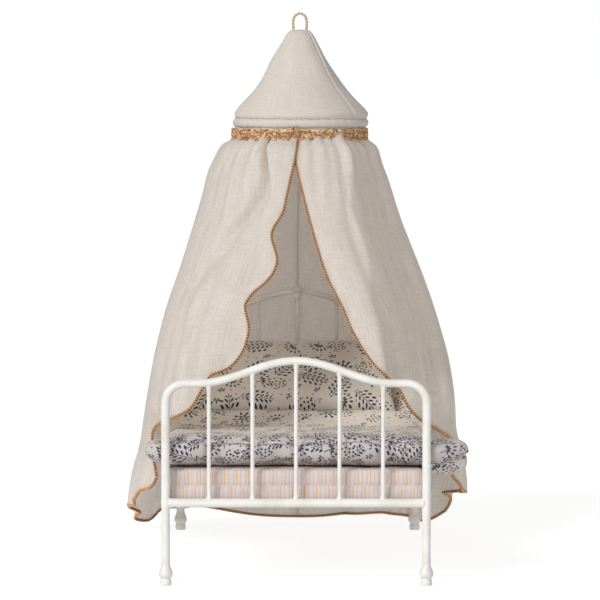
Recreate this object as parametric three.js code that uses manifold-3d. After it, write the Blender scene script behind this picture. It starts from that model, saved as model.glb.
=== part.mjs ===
// Doll's bed of enamelled metal tube with mattress, quilt and pillow, and a hooped linen canopy
// that hangs over the head end. Millimetres, +Z up, foot end towards -Y, floor at z = 0.
import * as THREE from "three";
import { mergeVertices } from "three/addons/utils/BufferGeometryUtils.js";
import Module from "manifold-3d";

// ---- driving dimensions: bed -------------------------------------------------------------
const POST_SPACING = 120; // centre to centre across the bed
const BED_LENGTH = 200; // centre to centre along the bed
const BED_Y = -10; // middle of the bed, so that the whole object's box is centred on the origin
const TUBE_R = 2.0; // posts and footboard bow
const RAIL_R = 2.1; // lower rails and side rails
const SPINDLE_R = 0.95;
const ARCH_R = 1.35; // headboard arch rod
const RAIL_Z = 38.2;
const FOOT_TOP_Z = 9.3;
const FOOTBOARD_CROWN_Z = 103.8;
const FOOTBOARD_RISE = 10.4; // crown above the flat shoulders
const HEADBOARD_CROWN_Z = 122.5;
const HEADBOARD_RISE = 11;
const CAMEL_HALF = 45; // half-width of the raised middle of both arches
const BEND_R = 9; // post to shoulder bend
const SPINDLE_PITCH = 20;
const SPINDLE_COUNT = 5;
const GAP = 0.3; // clearance between welded or resting neighbours
const SLAT_R = 0.8;
const SLAT_COUNT = 7;

// ---- driving dimensions: bedding ---------------------------------------------------------
const MATTRESS = { halfWidth: 56.8, front: -96.4, back: 96.4, bottom: 37.5, top: 57 };
const QUILT = { halfWidth: 65.6, front: -95.8, fold: -22, back: 96.4, bottom: 57.5, top: 61.8 };
const QUILT_ROLL = { from: -86, to: -64, height: 4.7 }; // the foot end is folded under and stands higher
const QUILT_RISE = { from: 59.6, angle: 38 }; // the head end is pushed up behind the pillow
const PILLOW = { halfWidth: 52, length: 48, thickness: 11.6, frontY: 50, frontZ: 64.6, tilt: 38 };

// ---- driving dimensions: canopy ----------------------------------------------------------
const CANOPY_Y = 62 + BED_Y; // vertical axis of the hoop
const SHEET = 0.8; // cloth thickness
const BACK_OFFSET = -1.6; // back panel, right flap and left flap lie one outside the other
const RIGHT_OFFSET = -0.2;
const LEFT_OFFSET = 1.2;
const CURTAIN_TOP = 205.5;
const BACK_DEPTH = 62; // reach of the curtain behind the hoop axis
const LAP_ANGLE = 75; // degrees from the front where each flap laps the back panel
const LAP = 2; // degrees of overlap there
const HOOP = { radius: 30.6, z: 209.2, wire: 0.9, casing: 1.9, wall: 0.5 };
const BAND = { bottom: 201.2, top: 206.4, inner: 32.8, outer: 33.7 };
const CORD_R = 0.6; // overcast edging
const LOOP = { cord: 0.65, half: 3.1, base: 255.5, top: 263.6 };
const CROWN_TOP = 255;

// Half-width of the curtain at each height, from the band to the hem.
const HALF_WIDTH = [
  [206, 31.2], [200.6, 31.2], [197.5, 36], [190, 42], [179, 45.7], [158, 52],
  [137, 60], [115, 66.7], [94, 72], [60, 77], [30, 81], [3, 88],
];
// Reach of the curtain in front of the hoop axis.
const FRONT_DEPTH = [[206, 31.2], [200.6, 31.2], [197.5, 36], [190, 42], [158, 54], [115, 72], [75, 86], [3, 90]];
// Distance of each flap's front edge from the middle of the bed.
const LEFT_EDGE = [[206, 0], [158, 9], [137, 14], [115, 25], [96, 34], [82, 46], [74, 60], [68, 69.5], [3, 71]];
const RIGHT_EDGE = [[206, -1.5], [190, 0.5], [137, 16.5], [96, 38], [82, 50], [74, 60], [68, 69.5], [3, 71]];
// Height of the hem, by angle from the front.
const HEM = [[40, 40], [60, 36], [77, 22], [100, 11], [120, 6], [180, 5]];

const WHITE_ENAMEL = { color: 0xf1efe8, roughness: 0.35, metalness: 0.1 };
const LINEN = { color: 0xd8d0c6, roughness: 0.95, metalness: 0 };
const GOLD_THREAD = { color: 0xb5803f, roughness: 0.7, metalness: 0.1 };
const STEEL = { color: 0x9a9a98, roughness: 0.4, metalness: 0.9 };
const TICKING = { color: 0xe6d9cc, roughness: 0.95, metalness: 0 };
const FLORAL = { color: 0xc9bcac, roughness: 0.95, metalness: 0 };

const rad = THREE.MathUtils.degToRad;
const object = new THREE.Group();

function add(name, geometry, look, x = 0, y = 0, z = 0) {
  const mesh = new THREE.Mesh(geometry, new THREE.MeshStandardMaterial(look));
  mesh.name = name;
  mesh.position.set(x, y, z);
  object.add(mesh);
  return mesh;
}

// Straight-line reading of a list of [key, value] pairs whose keys only rise or only fall.
function lookUp(list, key) {
  const falling = list[0][0] > list[list.length - 1][0];
  const points = falling ? [...list].reverse() : list;
  if (key <= points[0][0]) return points[0][1];
  for (let i = 1; i < points.length; i += 1) {
    const [k0, v0] = points[i - 1];
    const [k1, v1] = points[i];
    if (key <= k1) return v0 + ((v1 - v0) * (key - k0)) / (k1 - k0);
  }
  return points[points.length - 1][1];
}

// ---- shape helpers -----------------------------------------------------------------------
function disc(radius, sides) {
  const corners = [];
  for (let i = 0; i < sides; i += 1) {
    const a = (2 * Math.PI * i) / sides;
    corners.push(new THREE.Vector2(radius * Math.cos(a), radius * Math.sin(a)));
  }
  return new THREE.Shape(corners);
}

function tubeAlong(curve, radius, steps, sides) {
  return new THREE.ExtrudeGeometry(disc(radius, sides), { steps, bevelEnabled: false, extrudePath: curve });
}

function rod(from, to, radius, sides = 8) {
  return tubeAlong(new THREE.LineCurve3(from, to), radius, 1, sides);
}

function turned(profile, segments) {
  const points = profile.map(([r, z]) => new THREE.Vector2(r, z));
  return new THREE.LatheGeometry(points, segments).rotateX(Math.PI / 2);
}

// Closed solid between two faces of a grid: face(i / columns, j / rows, side) with side 1 outside, 0 inside.
function gridSolid(columns, rows, face) {
  const positions = [];
  const index = [];
  const at = (side, i, j) => (side * (rows + 1) + j) * (columns + 1) + i;
  for (const side of [0, 1]) {
    for (let j = 0; j <= rows; j += 1) {
      for (let i = 0; i <= columns; i += 1) positions.push(...face(i / columns, j / rows, side));
    }
  }
  const quad = (a, b, c, d) => index.push(a, b, c, a, c, d);
  for (let j = 0; j < rows; j += 1) {
    for (let i = 0; i < columns; i += 1) {
      quad(at(1, i, j), at(1, i + 1, j), at(1, i + 1, j + 1), at(1, i, j + 1));
      quad(at(0, i, j), at(0, i, j + 1), at(0, i + 1, j + 1), at(0, i + 1, j));
    }
  }
  for (let i = 0; i < columns; i += 1) {
    quad(at(0, i, 0), at(0, i + 1, 0), at(1, i + 1, 0), at(1, i, 0));
    quad(at(1, i, rows), at(1, i + 1, rows), at(0, i + 1, rows), at(0, i, rows));
  }
  for (let j = 0; j < rows; j += 1) {
    quad(at(1, 0, j), at(1, 0, j + 1), at(0, 0, j + 1), at(0, 0, j));
    quad(at(0, columns, j), at(0, columns, j + 1), at(1, columns, j + 1), at(1, columns, j));
  }
  const geometry = new THREE.BufferGeometry();
  geometry.setAttribute("position", new THREE.Float32BufferAttribute(positions, 3));
  geometry.setIndex(signedVolume(positions, index) < 0 ? index.reverse() : index);
  return geometry;
}

function signedVolume(positions, index) {
  const corner = (i) => new THREE.Vector3().fromArray(positions, 3 * index[i]);
  let volume = 0;
  for (let i = 0; i < index.length; i += 3) {
    volume += corner(i).dot(corner(i + 1).cross(corner(i + 2))) / 6;
  }
  return volume;
}

// Soft slab whose sides are rounded off, apart from an end cut square where squareEnd is 1 (+Y) or -1 (-Y).
function pad(halfX, halfY, halfZ, power, columns, rows, squareEnd = 0) {
  return gridSolid(columns, rows, (u, v, side) => {
    const x = Math.sin((u - 0.5) * Math.PI);
    const y = Math.sin((v - 0.5) * Math.PI);
    const roundY = y * squareEnd > 0 ? 0 : Math.abs(y) ** power;
    const edge = (1 - Math.abs(x) ** power) * (1 - roundY);
    const swell = halfZ * (0.25 + 0.75 * Math.max(edge, 0) ** 0.5);
    return [halfX * x, halfY * y, side ? swell : -swell];
  });
}

// ---- bed frame ---------------------------------------------------------------------------
const halfWidth = POST_SPACING / 2;
const footY = BED_Y - BED_LENGTH / 2;
const headY = BED_Y + BED_LENGTH / 2;

function archHeight(x, crownZ, rise) {
  const reach = Math.min(Math.abs(x) / CAMEL_HALF, 1);
  return crownZ - rise * Math.sin((reach * Math.PI) / 2) ** 2;
}

// Post, bend, shoulder, raised middle, and the same down the other side.
function bowPath(y, startZ, crownZ, rise) {
  const shoulder = crownZ - rise;
  const half = [];
  const straight = shoulder - BEND_R - startZ;
  for (const share of [0, 0.5, 0.9]) half.push([-halfWidth, startZ + straight * share]);
  for (const a of [0, 22.5, 45, 67.5, 90]) {
    const x = -halfWidth + BEND_R - BEND_R * Math.cos(rad(a));
    half.push([x, shoulder - BEND_R + BEND_R * Math.sin(rad(a))]);
  }
  for (let x = -CAMEL_HALF; x < 0; x += CAMEL_HALF / 5) half.push([x, archHeight(x, crownZ, rise)]);
  const right = half.map(([x, z]) => [-x, z]).reverse();
  const points = [...half, [0, crownZ], ...right].map(([x, z]) => new THREE.Vector3(x, y, z));
  return new THREE.CatmullRomCurve3(points, false, "centripetal");
}

function feet() {
  const profile = [
    [0, 0], [2.4, 0], [2.6, 0.4], [2.6, 2.6], [2.2, 3.3], [3.1, 4.4], [3.2, 5.5], [3, 6.8],
    [2.3, 8.2], [2.05, FOOT_TOP_Z], [0, FOOT_TOP_Z],
  ];
  for (const [end, y] of [["front", footY], ["rear", headY]]) {
    for (const [side, x] of [["left", -halfWidth], ["right", halfWidth]]) {
      add(`foot_${end}_${side}`, turned(profile, 10), WHITE_ENAMEL, x, y, 0);
    }
  }
}

function spindleRow(prefix, y, crownZ, rise, archRadius, centreDrop) {
  for (let i = 0; i < SPINDLE_COUNT; i += 1) {
    const x = (i - (SPINDLE_COUNT - 1) / 2) * SPINDLE_PITCH;
    const slope = (archHeight(x + 1, crownZ, rise) - archHeight(x - 1, crownZ, rise)) / 2;
    const reach = archRadius * Math.hypot(1, slope) + Math.abs(slope) * SPINDLE_R;
    const top = archHeight(x, crownZ, rise) - reach - GAP - (x === 0 ? centreDrop : 0);
    const bottom = RAIL_Z + RAIL_R + GAP;
    const bar = rod(new THREE.Vector3(x, y, bottom), new THREE.Vector3(x, y, top), SPINDLE_R);
    add(`${prefix}_spindle_${i + 1}`, bar, WHITE_ENAMEL);
  }
}

function lowerRail(name, y) {
  const reach = halfWidth - TUBE_R - GAP;
  const rail = rod(new THREE.Vector3(-reach, y, RAIL_Z), new THREE.Vector3(reach, y, RAIL_Z), RAIL_R, 10);
  add(name, rail, WHITE_ENAMEL);
}

function footboard() {
  const path = bowPath(footY, FOOT_TOP_Z + GAP, FOOTBOARD_CROWN_Z, FOOTBOARD_RISE);
  add("footboard_bow", tubeAlong(path, TUBE_R, 56, 8), WHITE_ENAMEL);
  lowerRail("footboard_lower_rail", footY);
  spindleRow("footboard", footY, FOOTBOARD_CROWN_Z, FOOTBOARD_RISE, TUBE_R, 0);
}

// Arch rod with both ends bent down to sit on the post tops.
function headboardArch(postTop) {
  const path = bowPath(headY, postTop + GAP, HEADBOARD_CROWN_Z, HEADBOARD_RISE);
  add("headboard_arch", tubeAlong(path, ARCH_R, 48, 8), WHITE_ENAMEL);
}

function headboard() {
  const postTop = HEADBOARD_CROWN_Z - HEADBOARD_RISE - BEND_R - 6;
  for (const [side, x] of [["left", -halfWidth], ["right", halfWidth]]) {
    const from = new THREE.Vector3(x, headY, FOOT_TOP_Z + GAP);
    add(`headboard_post_${side}`, rod(from, new THREE.Vector3(x, headY, postTop), TUBE_R, 10), WHITE_ENAMEL);
  }
  headboardArch(postTop);
  lowerRail("headboard_lower_rail", headY);
  spindleRow("headboard", headY, HEADBOARD_CROWN_Z, HEADBOARD_RISE, ARCH_R, 2.9);
}

function toManifold(wasm, geometry) {
  const bare = geometry.clone();
  bare.deleteAttribute("normal");
  bare.deleteAttribute("uv");
  const merged = mergeVertices(bare);
  const mesh = new wasm.Mesh({
    numProp: 3,
    vertProperties: new Float32Array(merged.attributes.position.array),
    triVerts: new Uint32Array(merged.index.array),
  });
  return new wasm.Manifold(mesh);
}

function fromManifold(solid) {
  const mesh = solid.getMesh();
  const geometry = new THREE.BufferGeometry();
  geometry.setAttribute("position", new THREE.BufferAttribute(mesh.vertProperties, 3));
  geometry.setIndex(new THREE.BufferAttribute(mesh.triVerts, 1));
  return geometry;
}

// Cast rosette that clasps the arch over the middle spindle, bored through for the arch rod.
async function rosette() {
  const wasm = await Module();
  wasm.setup();
  const profile = [
    [0, -4.1], [1.3, -4.1], [2, -3.4], [2.45, -2.3], [2.1, -1.2], [2.3, -0.5], [2.85, 0.3], [2.95, 1.2],
    [2.5, 2.3], [1.5, 3], [0, 3.2],
  ];
  const body = toManifold(wasm, turned(profile, 14));
  const bore = rod(new THREE.Vector3(-6, 0, 0), new THREE.Vector3(6, 0, 0), ARCH_R + GAP, 10);
  const cast = fromManifold(body.subtract(toManifold(wasm, bore)));
  add("headboard_rosette", cast, WHITE_ENAMEL, 0, headY, HEADBOARD_CROWN_Z);
}

function base() {
  const reach = BED_LENGTH / 2 - TUBE_R - GAP;
  for (const [side, x] of [["left", -halfWidth], ["right", halfWidth]]) {
    const from = new THREE.Vector3(x, BED_Y - reach, RAIL_Z);
    add(`side_rail_${side}`, rod(from, new THREE.Vector3(x, BED_Y + reach, RAIL_Z), RAIL_R, 10), WHITE_ENAMEL);
  }
  const slatReach = halfWidth - RAIL_R;
  const slatZ = MATTRESS.bottom - GAP - SLAT_R;
  for (let i = 0; i < SLAT_COUNT; i += 1) {
    const y = BED_Y + ((i + 0.5) / SLAT_COUNT - 0.5) * BED_LENGTH * 0.96;
    const bar = rod(new THREE.Vector3(-slatReach, y, slatZ), new THREE.Vector3(slatReach, y, slatZ), SLAT_R);
    add(`cross_wire_${i + 1}`, bar, WHITE_ENAMEL);
  }
}

// ---- bedding -----------------------------------------------------------------------------
// Height of the quilt's upper face over its level middle, at y along the bed.
function quiltLift(y) {
  const roll = 1 - THREE.MathUtils.smoothstep(y, QUILT_ROLL.from, QUILT_ROLL.to);
  const rise = Math.max(y - QUILT_RISE.from, 0) * Math.tan(rad(QUILT_RISE.angle));
  return { top: QUILT_ROLL.height * roll + rise, bottom: rise };
}

// Stretch of the quilt between two places along the bed, its sides and outer end rounded off.
function quiltPiece(name, front, back, squareEnd) {
  const halfZ = (QUILT.top - QUILT.bottom) / 2;
  const geometry = pad(QUILT.halfWidth, (back - front) / 2, halfZ, 8, 12, 16, squareEnd);
  geometry.translate(0, (back + front) / 2, (QUILT.top + QUILT.bottom) / 2);
  const position = geometry.attributes.position;
  for (let i = 0; i < position.count; i += 1) {
    const share = (position.getZ(i) - QUILT.bottom) / (QUILT.top - QUILT.bottom);
    const lift = quiltLift(position.getY(i));
    position.setZ(i, position.getZ(i) + lift.bottom + (lift.top - lift.bottom) * share);
  }
  add(name, geometry, FLORAL, 0, BED_Y, 0);
}

function bedding() {
  const length = MATTRESS.back - MATTRESS.front;
  const thickness = MATTRESS.top - MATTRESS.bottom;
  const mattress = pad(MATTRESS.halfWidth, length / 2, thickness / 2, 30, 12, 10);
  add("mattress", mattress, TICKING, 0, BED_Y, MATTRESS.bottom + thickness / 2);
  quiltPiece("quilt_foot", QUILT.front, QUILT.fold - GAP / 2, 1);
  quiltPiece("quilt_head", QUILT.fold + GAP / 2, QUILT.back, -1);
  const pillow = pad(PILLOW.halfWidth, PILLOW.length / 2, PILLOW.thickness / 2, 4, 12, 10);
  const tilt = rad(PILLOW.tilt);
  const y = BED_Y + PILLOW.frontY + (PILLOW.length / 2) * Math.cos(tilt);
  const z = PILLOW.frontZ + (PILLOW.length / 2) * Math.sin(tilt);
  add("pillow", pillow, FLORAL, 0, y, z).rotation.x = tilt;
}

// ---- canopy ------------------------------------------------------------------------------
// A point of the curtain, by angle from the front (degrees, positive to the right) and height.
function curtainPoint(angle, z, offset) {
  const a = rad(Math.abs(angle));
  const front = Math.abs(angle) < 90;
  const settled = THREE.MathUtils.clamp((160 - z) / 48, 0, 1);
  const power = 2 / (2 + settled * (front ? 1 : 2));
  const width = lookUp(HALF_WIDTH, z);
  const depth = front ? lookUp(FRONT_DEPTH, z) : Math.min(width, BACK_DEPTH);
  const x = (width + offset) * Math.sin(a) ** power;
  const y = (depth + offset) * Math.abs(Math.cos(a)) ** power;
  return [Math.sign(angle) * x, CANOPY_Y + (front ? -y : y), z];
}

// Angle from the front at which a flap's edge stands x from the middle.
function edgeAngle(x, z) {
  const settled = THREE.MathUtils.clamp((160 - z) / 48, 0, 1);
  const ratio = THREE.MathUtils.clamp(Math.abs(x) / lookUp(HALF_WIDTH, z), 0, 0.999);
  return Math.sign(x) * THREE.MathUtils.radToDeg(Math.asin(ratio ** ((2 + settled) / 2)));
}

function hemHeight(angle) {
  return lookUp(HEM, Math.abs(angle));
}

// Row j of the curtain: the upper rows are level, and the lower ones spread down to the hem.
const LEVEL_ROWS = [CURTAIN_TOP, 200.5, 197.5, 190, 179, 158, 137, 115, 96, 82, 74, 68];
const CURTAIN_ROWS = LEVEL_ROWS.length + 3;

function rowHeight(v, bottom) {
  const j = Math.round(v * CURTAIN_ROWS);
  if (j < LEVEL_ROWS.length) return LEVEL_ROWS[j];
  const lowest = LEVEL_ROWS[LEVEL_ROWS.length - 1];
  return lowest + ((bottom - lowest) * (j - LEVEL_ROWS.length + 1)) / (CURTAIN_ROWS - LEVEL_ROWS.length + 1);
}

function backPanel() {
  const start = LAP_ANGLE - LAP;
  return gridSolid(36, CURTAIN_ROWS, (u, v, side) => {
    const turn = start + (360 - 2 * start) * u;
    const angle = turn > 180 ? turn - 360 : turn;
    const z = rowHeight(v, hemHeight(angle));
    return curtainPoint(angle === 180 ? 179.999 : angle, z, BACK_OFFSET - (side ? 0 : SHEET));
  });
}

// Hem of a flap, by share of the way from its front edge (0) to the lap (1).
function flapHem(share) {
  return hemHeight(HEM[0][0] + (LAP_ANGLE - HEM[0][0]) * share);
}

function flapAngle(edge, share, z) {
  const from = edgeAngle(lookUp(edge, z), z);
  return from + (LAP_ANGLE - from) * share;
}

function flap(sign, edge, offset) {
  return gridSolid(12, CURTAIN_ROWS, (u, v, side) => {
    const share = sign > 0 ? u : 1 - u;
    const z = rowHeight(v, flapHem(share));
    return curtainPoint(sign * flapAngle(edge, share, z), z, offset - (side ? 0 : SHEET));
  });
}

// Overcast cord down a flap's front edge and round its lower corner to the lap.
function flapCord(sign, edge, offset) {
  const points = [];
  const clear = CORD_R + 0.8;
  const step = 6;
  const centre = sign > 0 ? offset - SHEET : offset; // each cord keeps clear of the other flap
  for (let z = BAND.bottom - 2; z > HEM[0][1] + 2; z -= step) {
    const run = new THREE.Vector2(lookUp(edge, z - step / 2) - lookUp(edge, z + step / 2), -step).normalize();
    const x = lookUp(edge, z) + run.y * clear;
    const low = z - run.x * clear;
    points.push(curtainPoint(sign * edgeAngle(x, low), low, centre));
  }
  for (const share of [0.05, 0.35, 0.7, 0.97]) {
    const z = flapHem(share) - clear;
    points.push(curtainPoint(sign * flapAngle(edge, share, z), z, centre));
  }
  const path = new THREE.CatmullRomCurve3(points.map((p) => new THREE.Vector3(...p)), false, "centripetal");
  return tubeAlong(path, CORD_R, 50, 5);
}

function hemCord() {
  const points = [];
  const start = LAP_ANGLE + 1;
  for (let turn = start; turn <= 360 - start + 0.01; turn += (360 - 2 * start) / 24) {
    const angle = turn > 180 ? turn - 360 : turn;
    const z = hemHeight(angle) - CORD_R - GAP - 0.2;
    points.push(new THREE.Vector3(...curtainPoint(angle, z, BACK_OFFSET - SHEET / 2)));
  }
  return tubeAlong(new THREE.CatmullRomCurve3(points, false, "centripetal"), CORD_R, 48, 5);
}

function crown() {
  const outside = [[4.6, CROWN_TOP - 0.2], [7, 251], [10.5, 245], [17.8, 232], [21.8, 226], [28.2, 219.5],
    [31.6, 214], [32.2, 211.6]];
  const inside = outside.map(([r, z]) => [r - 0.8, z - 0.6]);
  inside[inside.length - 1] = [31.4, 211.6];
  const profile = [[0, CROWN_TOP - 0.9], ...inside, ...outside.reverse(), [0, CROWN_TOP]];
  return turned(profile, 24);
}

// Sewn channel round the wire: a C in section, open at the bottom on the inside.
function hoopChannel() {
  const at = (r, degrees) => [
    HOOP.radius + r * Math.cos(rad(degrees)),
    HOOP.z + r * Math.sin(rad(degrees)),
  ];
  const profile = [];
  for (let a = -110; a <= 200; a += 62) profile.push(at(HOOP.casing, a));
  for (let a = 200; a >= -110; a -= 62) profile.push(at(HOOP.casing - HOOP.wall, a));
  return turned([...profile, profile[0]], 24);
}

function crochetBand() {
  const profile = [
    [BAND.inner, BAND.bottom], [BAND.outer, BAND.bottom], [BAND.outer, BAND.top], [BAND.inner, BAND.top],
    [BAND.inner, BAND.bottom],
  ];
  return turned(profile, 32);
}

function hangingLoop() {
  const shoulder = LOOP.top - LOOP.cord - LOOP.half;
  const points = [[-LOOP.half, LOOP.base], [-LOOP.half, (LOOP.base + shoulder) / 2]];
  for (let a = 180; a >= 0; a -= 30) {
    points.push([LOOP.half * Math.cos(rad(a)), shoulder + LOOP.half * Math.sin(rad(a))]);
  }
  points.push([LOOP.half, (LOOP.base + shoulder) / 2], [LOOP.half, LOOP.base]);
  const path = new THREE.CatmullRomCurve3(points.map(([x, z]) => new THREE.Vector3(x, 0, z)), false, "centripetal");
  return tubeAlong(path, LOOP.cord, 28, 8);
}

function canopy() {
  add("canopy_crown", crown(), LINEN, 0, CANOPY_Y, 0);
  add("hoop_channel", hoopChannel(), LINEN, 0, CANOPY_Y, 0);
  add("canopy_hoop", new THREE.TorusGeometry(HOOP.radius, HOOP.wire, 6, 24), STEEL, 0, CANOPY_Y, HOOP.z);
  add("crochet_band", crochetBand(), GOLD_THREAD, 0, CANOPY_Y, 0);
  add("curtain_back", backPanel(), LINEN);
  add("hem_edging", hemCord(), GOLD_THREAD);
  add("left_flap", flap(-1, LEFT_EDGE, LEFT_OFFSET), LINEN);
  add("left_flap_edging", flapCord(-1, LEFT_EDGE, LEFT_OFFSET), GOLD_THREAD);
  add("right_flap", flap(1, RIGHT_EDGE, RIGHT_OFFSET), LINEN);
  add("right_flap_edging", flapCord(1, RIGHT_EDGE, RIGHT_OFFSET), GOLD_THREAD);
  add("hanging_loop", hangingLoop(), GOLD_THREAD, 0, CANOPY_Y, 0);
}

footboard();
headboard();
feet();
base();
await rosette();
bedding();
canopy();

export default object;
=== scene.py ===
"""Looks for the doll's bed with hooped canopy: enamelled tube, printed cloth, ticking, linen and gold thread.

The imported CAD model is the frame. Shapes are worked out in millimetres and written to meshes in metres.
"""

import math
import random

import bmesh
import bpy
import numpy as np
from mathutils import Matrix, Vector, noise
from mathutils.bvhtree import BVHTree


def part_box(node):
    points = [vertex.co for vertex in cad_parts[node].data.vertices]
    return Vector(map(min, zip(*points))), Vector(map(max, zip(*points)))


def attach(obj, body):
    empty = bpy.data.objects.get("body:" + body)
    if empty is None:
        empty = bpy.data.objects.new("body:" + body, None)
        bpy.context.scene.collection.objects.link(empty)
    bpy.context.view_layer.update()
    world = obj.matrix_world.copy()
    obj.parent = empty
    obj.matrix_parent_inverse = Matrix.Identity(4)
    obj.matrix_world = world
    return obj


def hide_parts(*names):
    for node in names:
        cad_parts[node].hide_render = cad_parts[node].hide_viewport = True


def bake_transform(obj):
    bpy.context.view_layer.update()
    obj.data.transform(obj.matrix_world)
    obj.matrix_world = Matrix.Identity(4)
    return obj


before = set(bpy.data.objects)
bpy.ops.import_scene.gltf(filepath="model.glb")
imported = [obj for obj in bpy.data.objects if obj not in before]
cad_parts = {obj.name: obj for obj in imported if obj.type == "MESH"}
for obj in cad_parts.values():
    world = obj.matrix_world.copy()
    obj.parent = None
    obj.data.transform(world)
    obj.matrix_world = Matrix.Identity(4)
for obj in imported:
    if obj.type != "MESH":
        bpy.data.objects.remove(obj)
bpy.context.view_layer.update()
MM = 0.001
TAU = 2 * math.pi


# ---- places, from the frame ---------------------------------------------------------------
def box_mm(node):
    low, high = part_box(node)
    return np.array(low) / MM, np.array(high) / MM


def middle(node):
    low, high = box_mm(node)
    return (low + high) / 2


FOOT_Y = middle("footboard_bow")[1]
HEAD_Y = middle("headboard_lower_rail")[1]
POST_X = middle("foot_front_right")[0]
RAIL_Z = middle("footboard_lower_rail")[2]
FOOT_TOP = box_mm("foot_front_left")[1][2]
# Radii of the bent tube, of its thinner arch, of the headboard's rod, of the rails and of the upright bars.
TUBE_R = 2.0
ARCH_TUBE_R = 1.85
ROD_R = 1.35
RAIL_R = 2.1
SPINDLE_R = 0.95
SPINDLE_X = [-40, -20, 0, 20, 40]
# Height of each arch's middle, how far it drops to the shoulders, and half its width.
FOOT_CROWN_Z = box_mm("footboard_bow")[1][2] - TUBE_R
HEAD_CROWN_Z = box_mm("headboard_arch")[1][2] - ROD_R
FOOT_RISE = 10.4
HEAD_RISE = 11.0
ARCH_HALF = 45.0
BEND_R = 9.0
CANOPY_Y = middle("canopy_hoop")[1]
HOOP_Z = middle("canopy_hoop")[2]
MATTRESS_LOW, MATTRESS_HIGH = box_mm("mattress")


# ---- mesh helpers -------------------------------------------------------------------------
def mesh_object(name, points_mm, faces, uvs=None, corner_uvs=None):
    """uvs is one (u, v) pair per point, corner_uvs one per corner of every face in turn, in millimetres."""
    mesh = bpy.data.meshes.new(name)
    mesh.from_pydata([tuple(p) for p in np.asarray(points_mm, float) * MM], [], faces)
    mesh.update()
    if uvs is not None:
        corner_point = np.zeros(len(mesh.loops), np.int32)
        mesh.loops.foreach_get("vertex_index", corner_point)
        corner_uvs = np.asarray(uvs, np.float32)[corner_point]
    if corner_uvs is not None:
        layer = mesh.uv_layers.new(name="cloth")
        layer.data.foreach_set("uv", np.asarray(corner_uvs, np.float32).ravel())
    mesh.polygons.foreach_set("use_smooth", [True] * len(mesh.polygons))
    obj = bpy.data.objects.new(name, mesh)
    bpy.context.scene.collection.objects.link(obj)
    return obj


def points_of(obj):
    co = np.zeros(len(obj.data.vertices) * 3, np.float32)
    obj.data.vertices.foreach_get("co", co)
    return co.reshape(-1, 3) / MM


def move_points(obj, points_mm):
    obj.data.vertices.foreach_set("co", (points_mm * MM).astype(np.float32).ravel())
    obj.data.update()


def finish_piece(obj, material, slot, body, *nodes):
    """Gives a piece its material, body and the nodes it replaces; body is None for a piece that spans two
    bodies, which is then left unattached.
    """
    obj.data.materials.append(material)
    if body:
        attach(obj, body)
    if nodes:
        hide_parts(*nodes)


def grid_faces(columns, rows, wrap=False):
    """Quads over a grid of points laid row by row; with wrap each row closes on itself."""
    faces = []
    across = columns if wrap else columns - 1
    for j in range(rows - 1):
        for i in range(across):
            k = (i + 1) % columns
            near, far = j * columns, (j + 1) * columns
            faces.append((near + i, near + k, far + k, far + i))
    return faces


def end_caps(sides, rings):
    """Faces that close both ends of a tube made of rings of points."""
    last = (rings - 1) * sides
    return [tuple(range(sides - 1, -1, -1)), tuple(last + i for i in range(sides))]


def lengths_along(path):
    """Distance from the start of a path to each of its points."""
    step = np.linalg.norm(np.diff(path, axis=0), axis=1)
    return np.concatenate([[0], np.cumsum(step)])


def sweep(path, radius, sides=20, closed=False, ripple=None):
    """Tube round a path. radius is a number or one per point; ripple(distance, turn) scales it."""
    path = np.asarray(path, float)
    count = len(path)
    radii = np.broadcast_to(np.asarray(radius, float), (count,))
    if closed:
        ahead = np.roll(path, -1, axis=0) - np.roll(path, 1, axis=0)
    else:
        ahead = np.gradient(path, axis=0)
    ahead /= np.linalg.norm(ahead, axis=1)[:, None]
    distance = lengths_along(path)
    normal = np.cross(ahead[0], [0.0, 0.0, 1.0])
    if np.linalg.norm(normal) < 0.1:
        normal = np.cross(ahead[0], [0.0, 1.0, 0.0])
    turns = np.linspace(0, TAU, sides, endpoint=False)
    points = np.zeros((count, sides, 3))
    uvs = np.zeros((count, sides, 2))
    for i in range(count):
        normal = normal - ahead[i] * (normal @ ahead[i])
        normal /= np.linalg.norm(normal)
        side = np.cross(ahead[i], normal)
        scale = radii[i] * (ripple(distance[i], turns) if ripple else np.ones(sides))
        ring = np.cos(turns)[:, None] * normal + np.sin(turns)[:, None] * side
        points[i] = path[i] + ring * scale[:, None]
        uvs[i, :, 0] = distance[i]
        uvs[i, :, 1] = turns
    faces = grid_faces(sides, count, wrap=True)
    if closed:
        last = (count - 1) * sides
        faces += [(last + i, last + (i + 1) % sides, (i + 1) % sides, i) for i in range(sides)]
    else:
        faces += end_caps(sides, count)
    return points.reshape(-1, 3), faces, uvs.reshape(-1, 2)


def turned(profile, centre, segments=48):
    """Lathe of (radius, height) points round the upright axis through centre, closed at both ends."""
    profile = np.asarray(profile, float)
    turns = np.linspace(0, TAU, segments, endpoint=False)
    rings = []
    for r, z in profile:
        rings.append(np.stack([r * np.cos(turns), r * np.sin(turns), np.full(segments, z)], 1))
    points = np.concatenate(rings) + np.asarray(centre, float)
    return points, grid_faces(segments, len(profile), wrap=True) + end_caps(segments, len(profile))


def join_parts(parts):
    """One list of points and faces from several."""
    points, faces = [], []
    start = 0
    for part_points, part_faces in parts:
        points.append(part_points)
        faces += [tuple(i + start for i in f) for f in part_faces]
        start += len(part_points)
    return np.concatenate(points), faces


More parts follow.
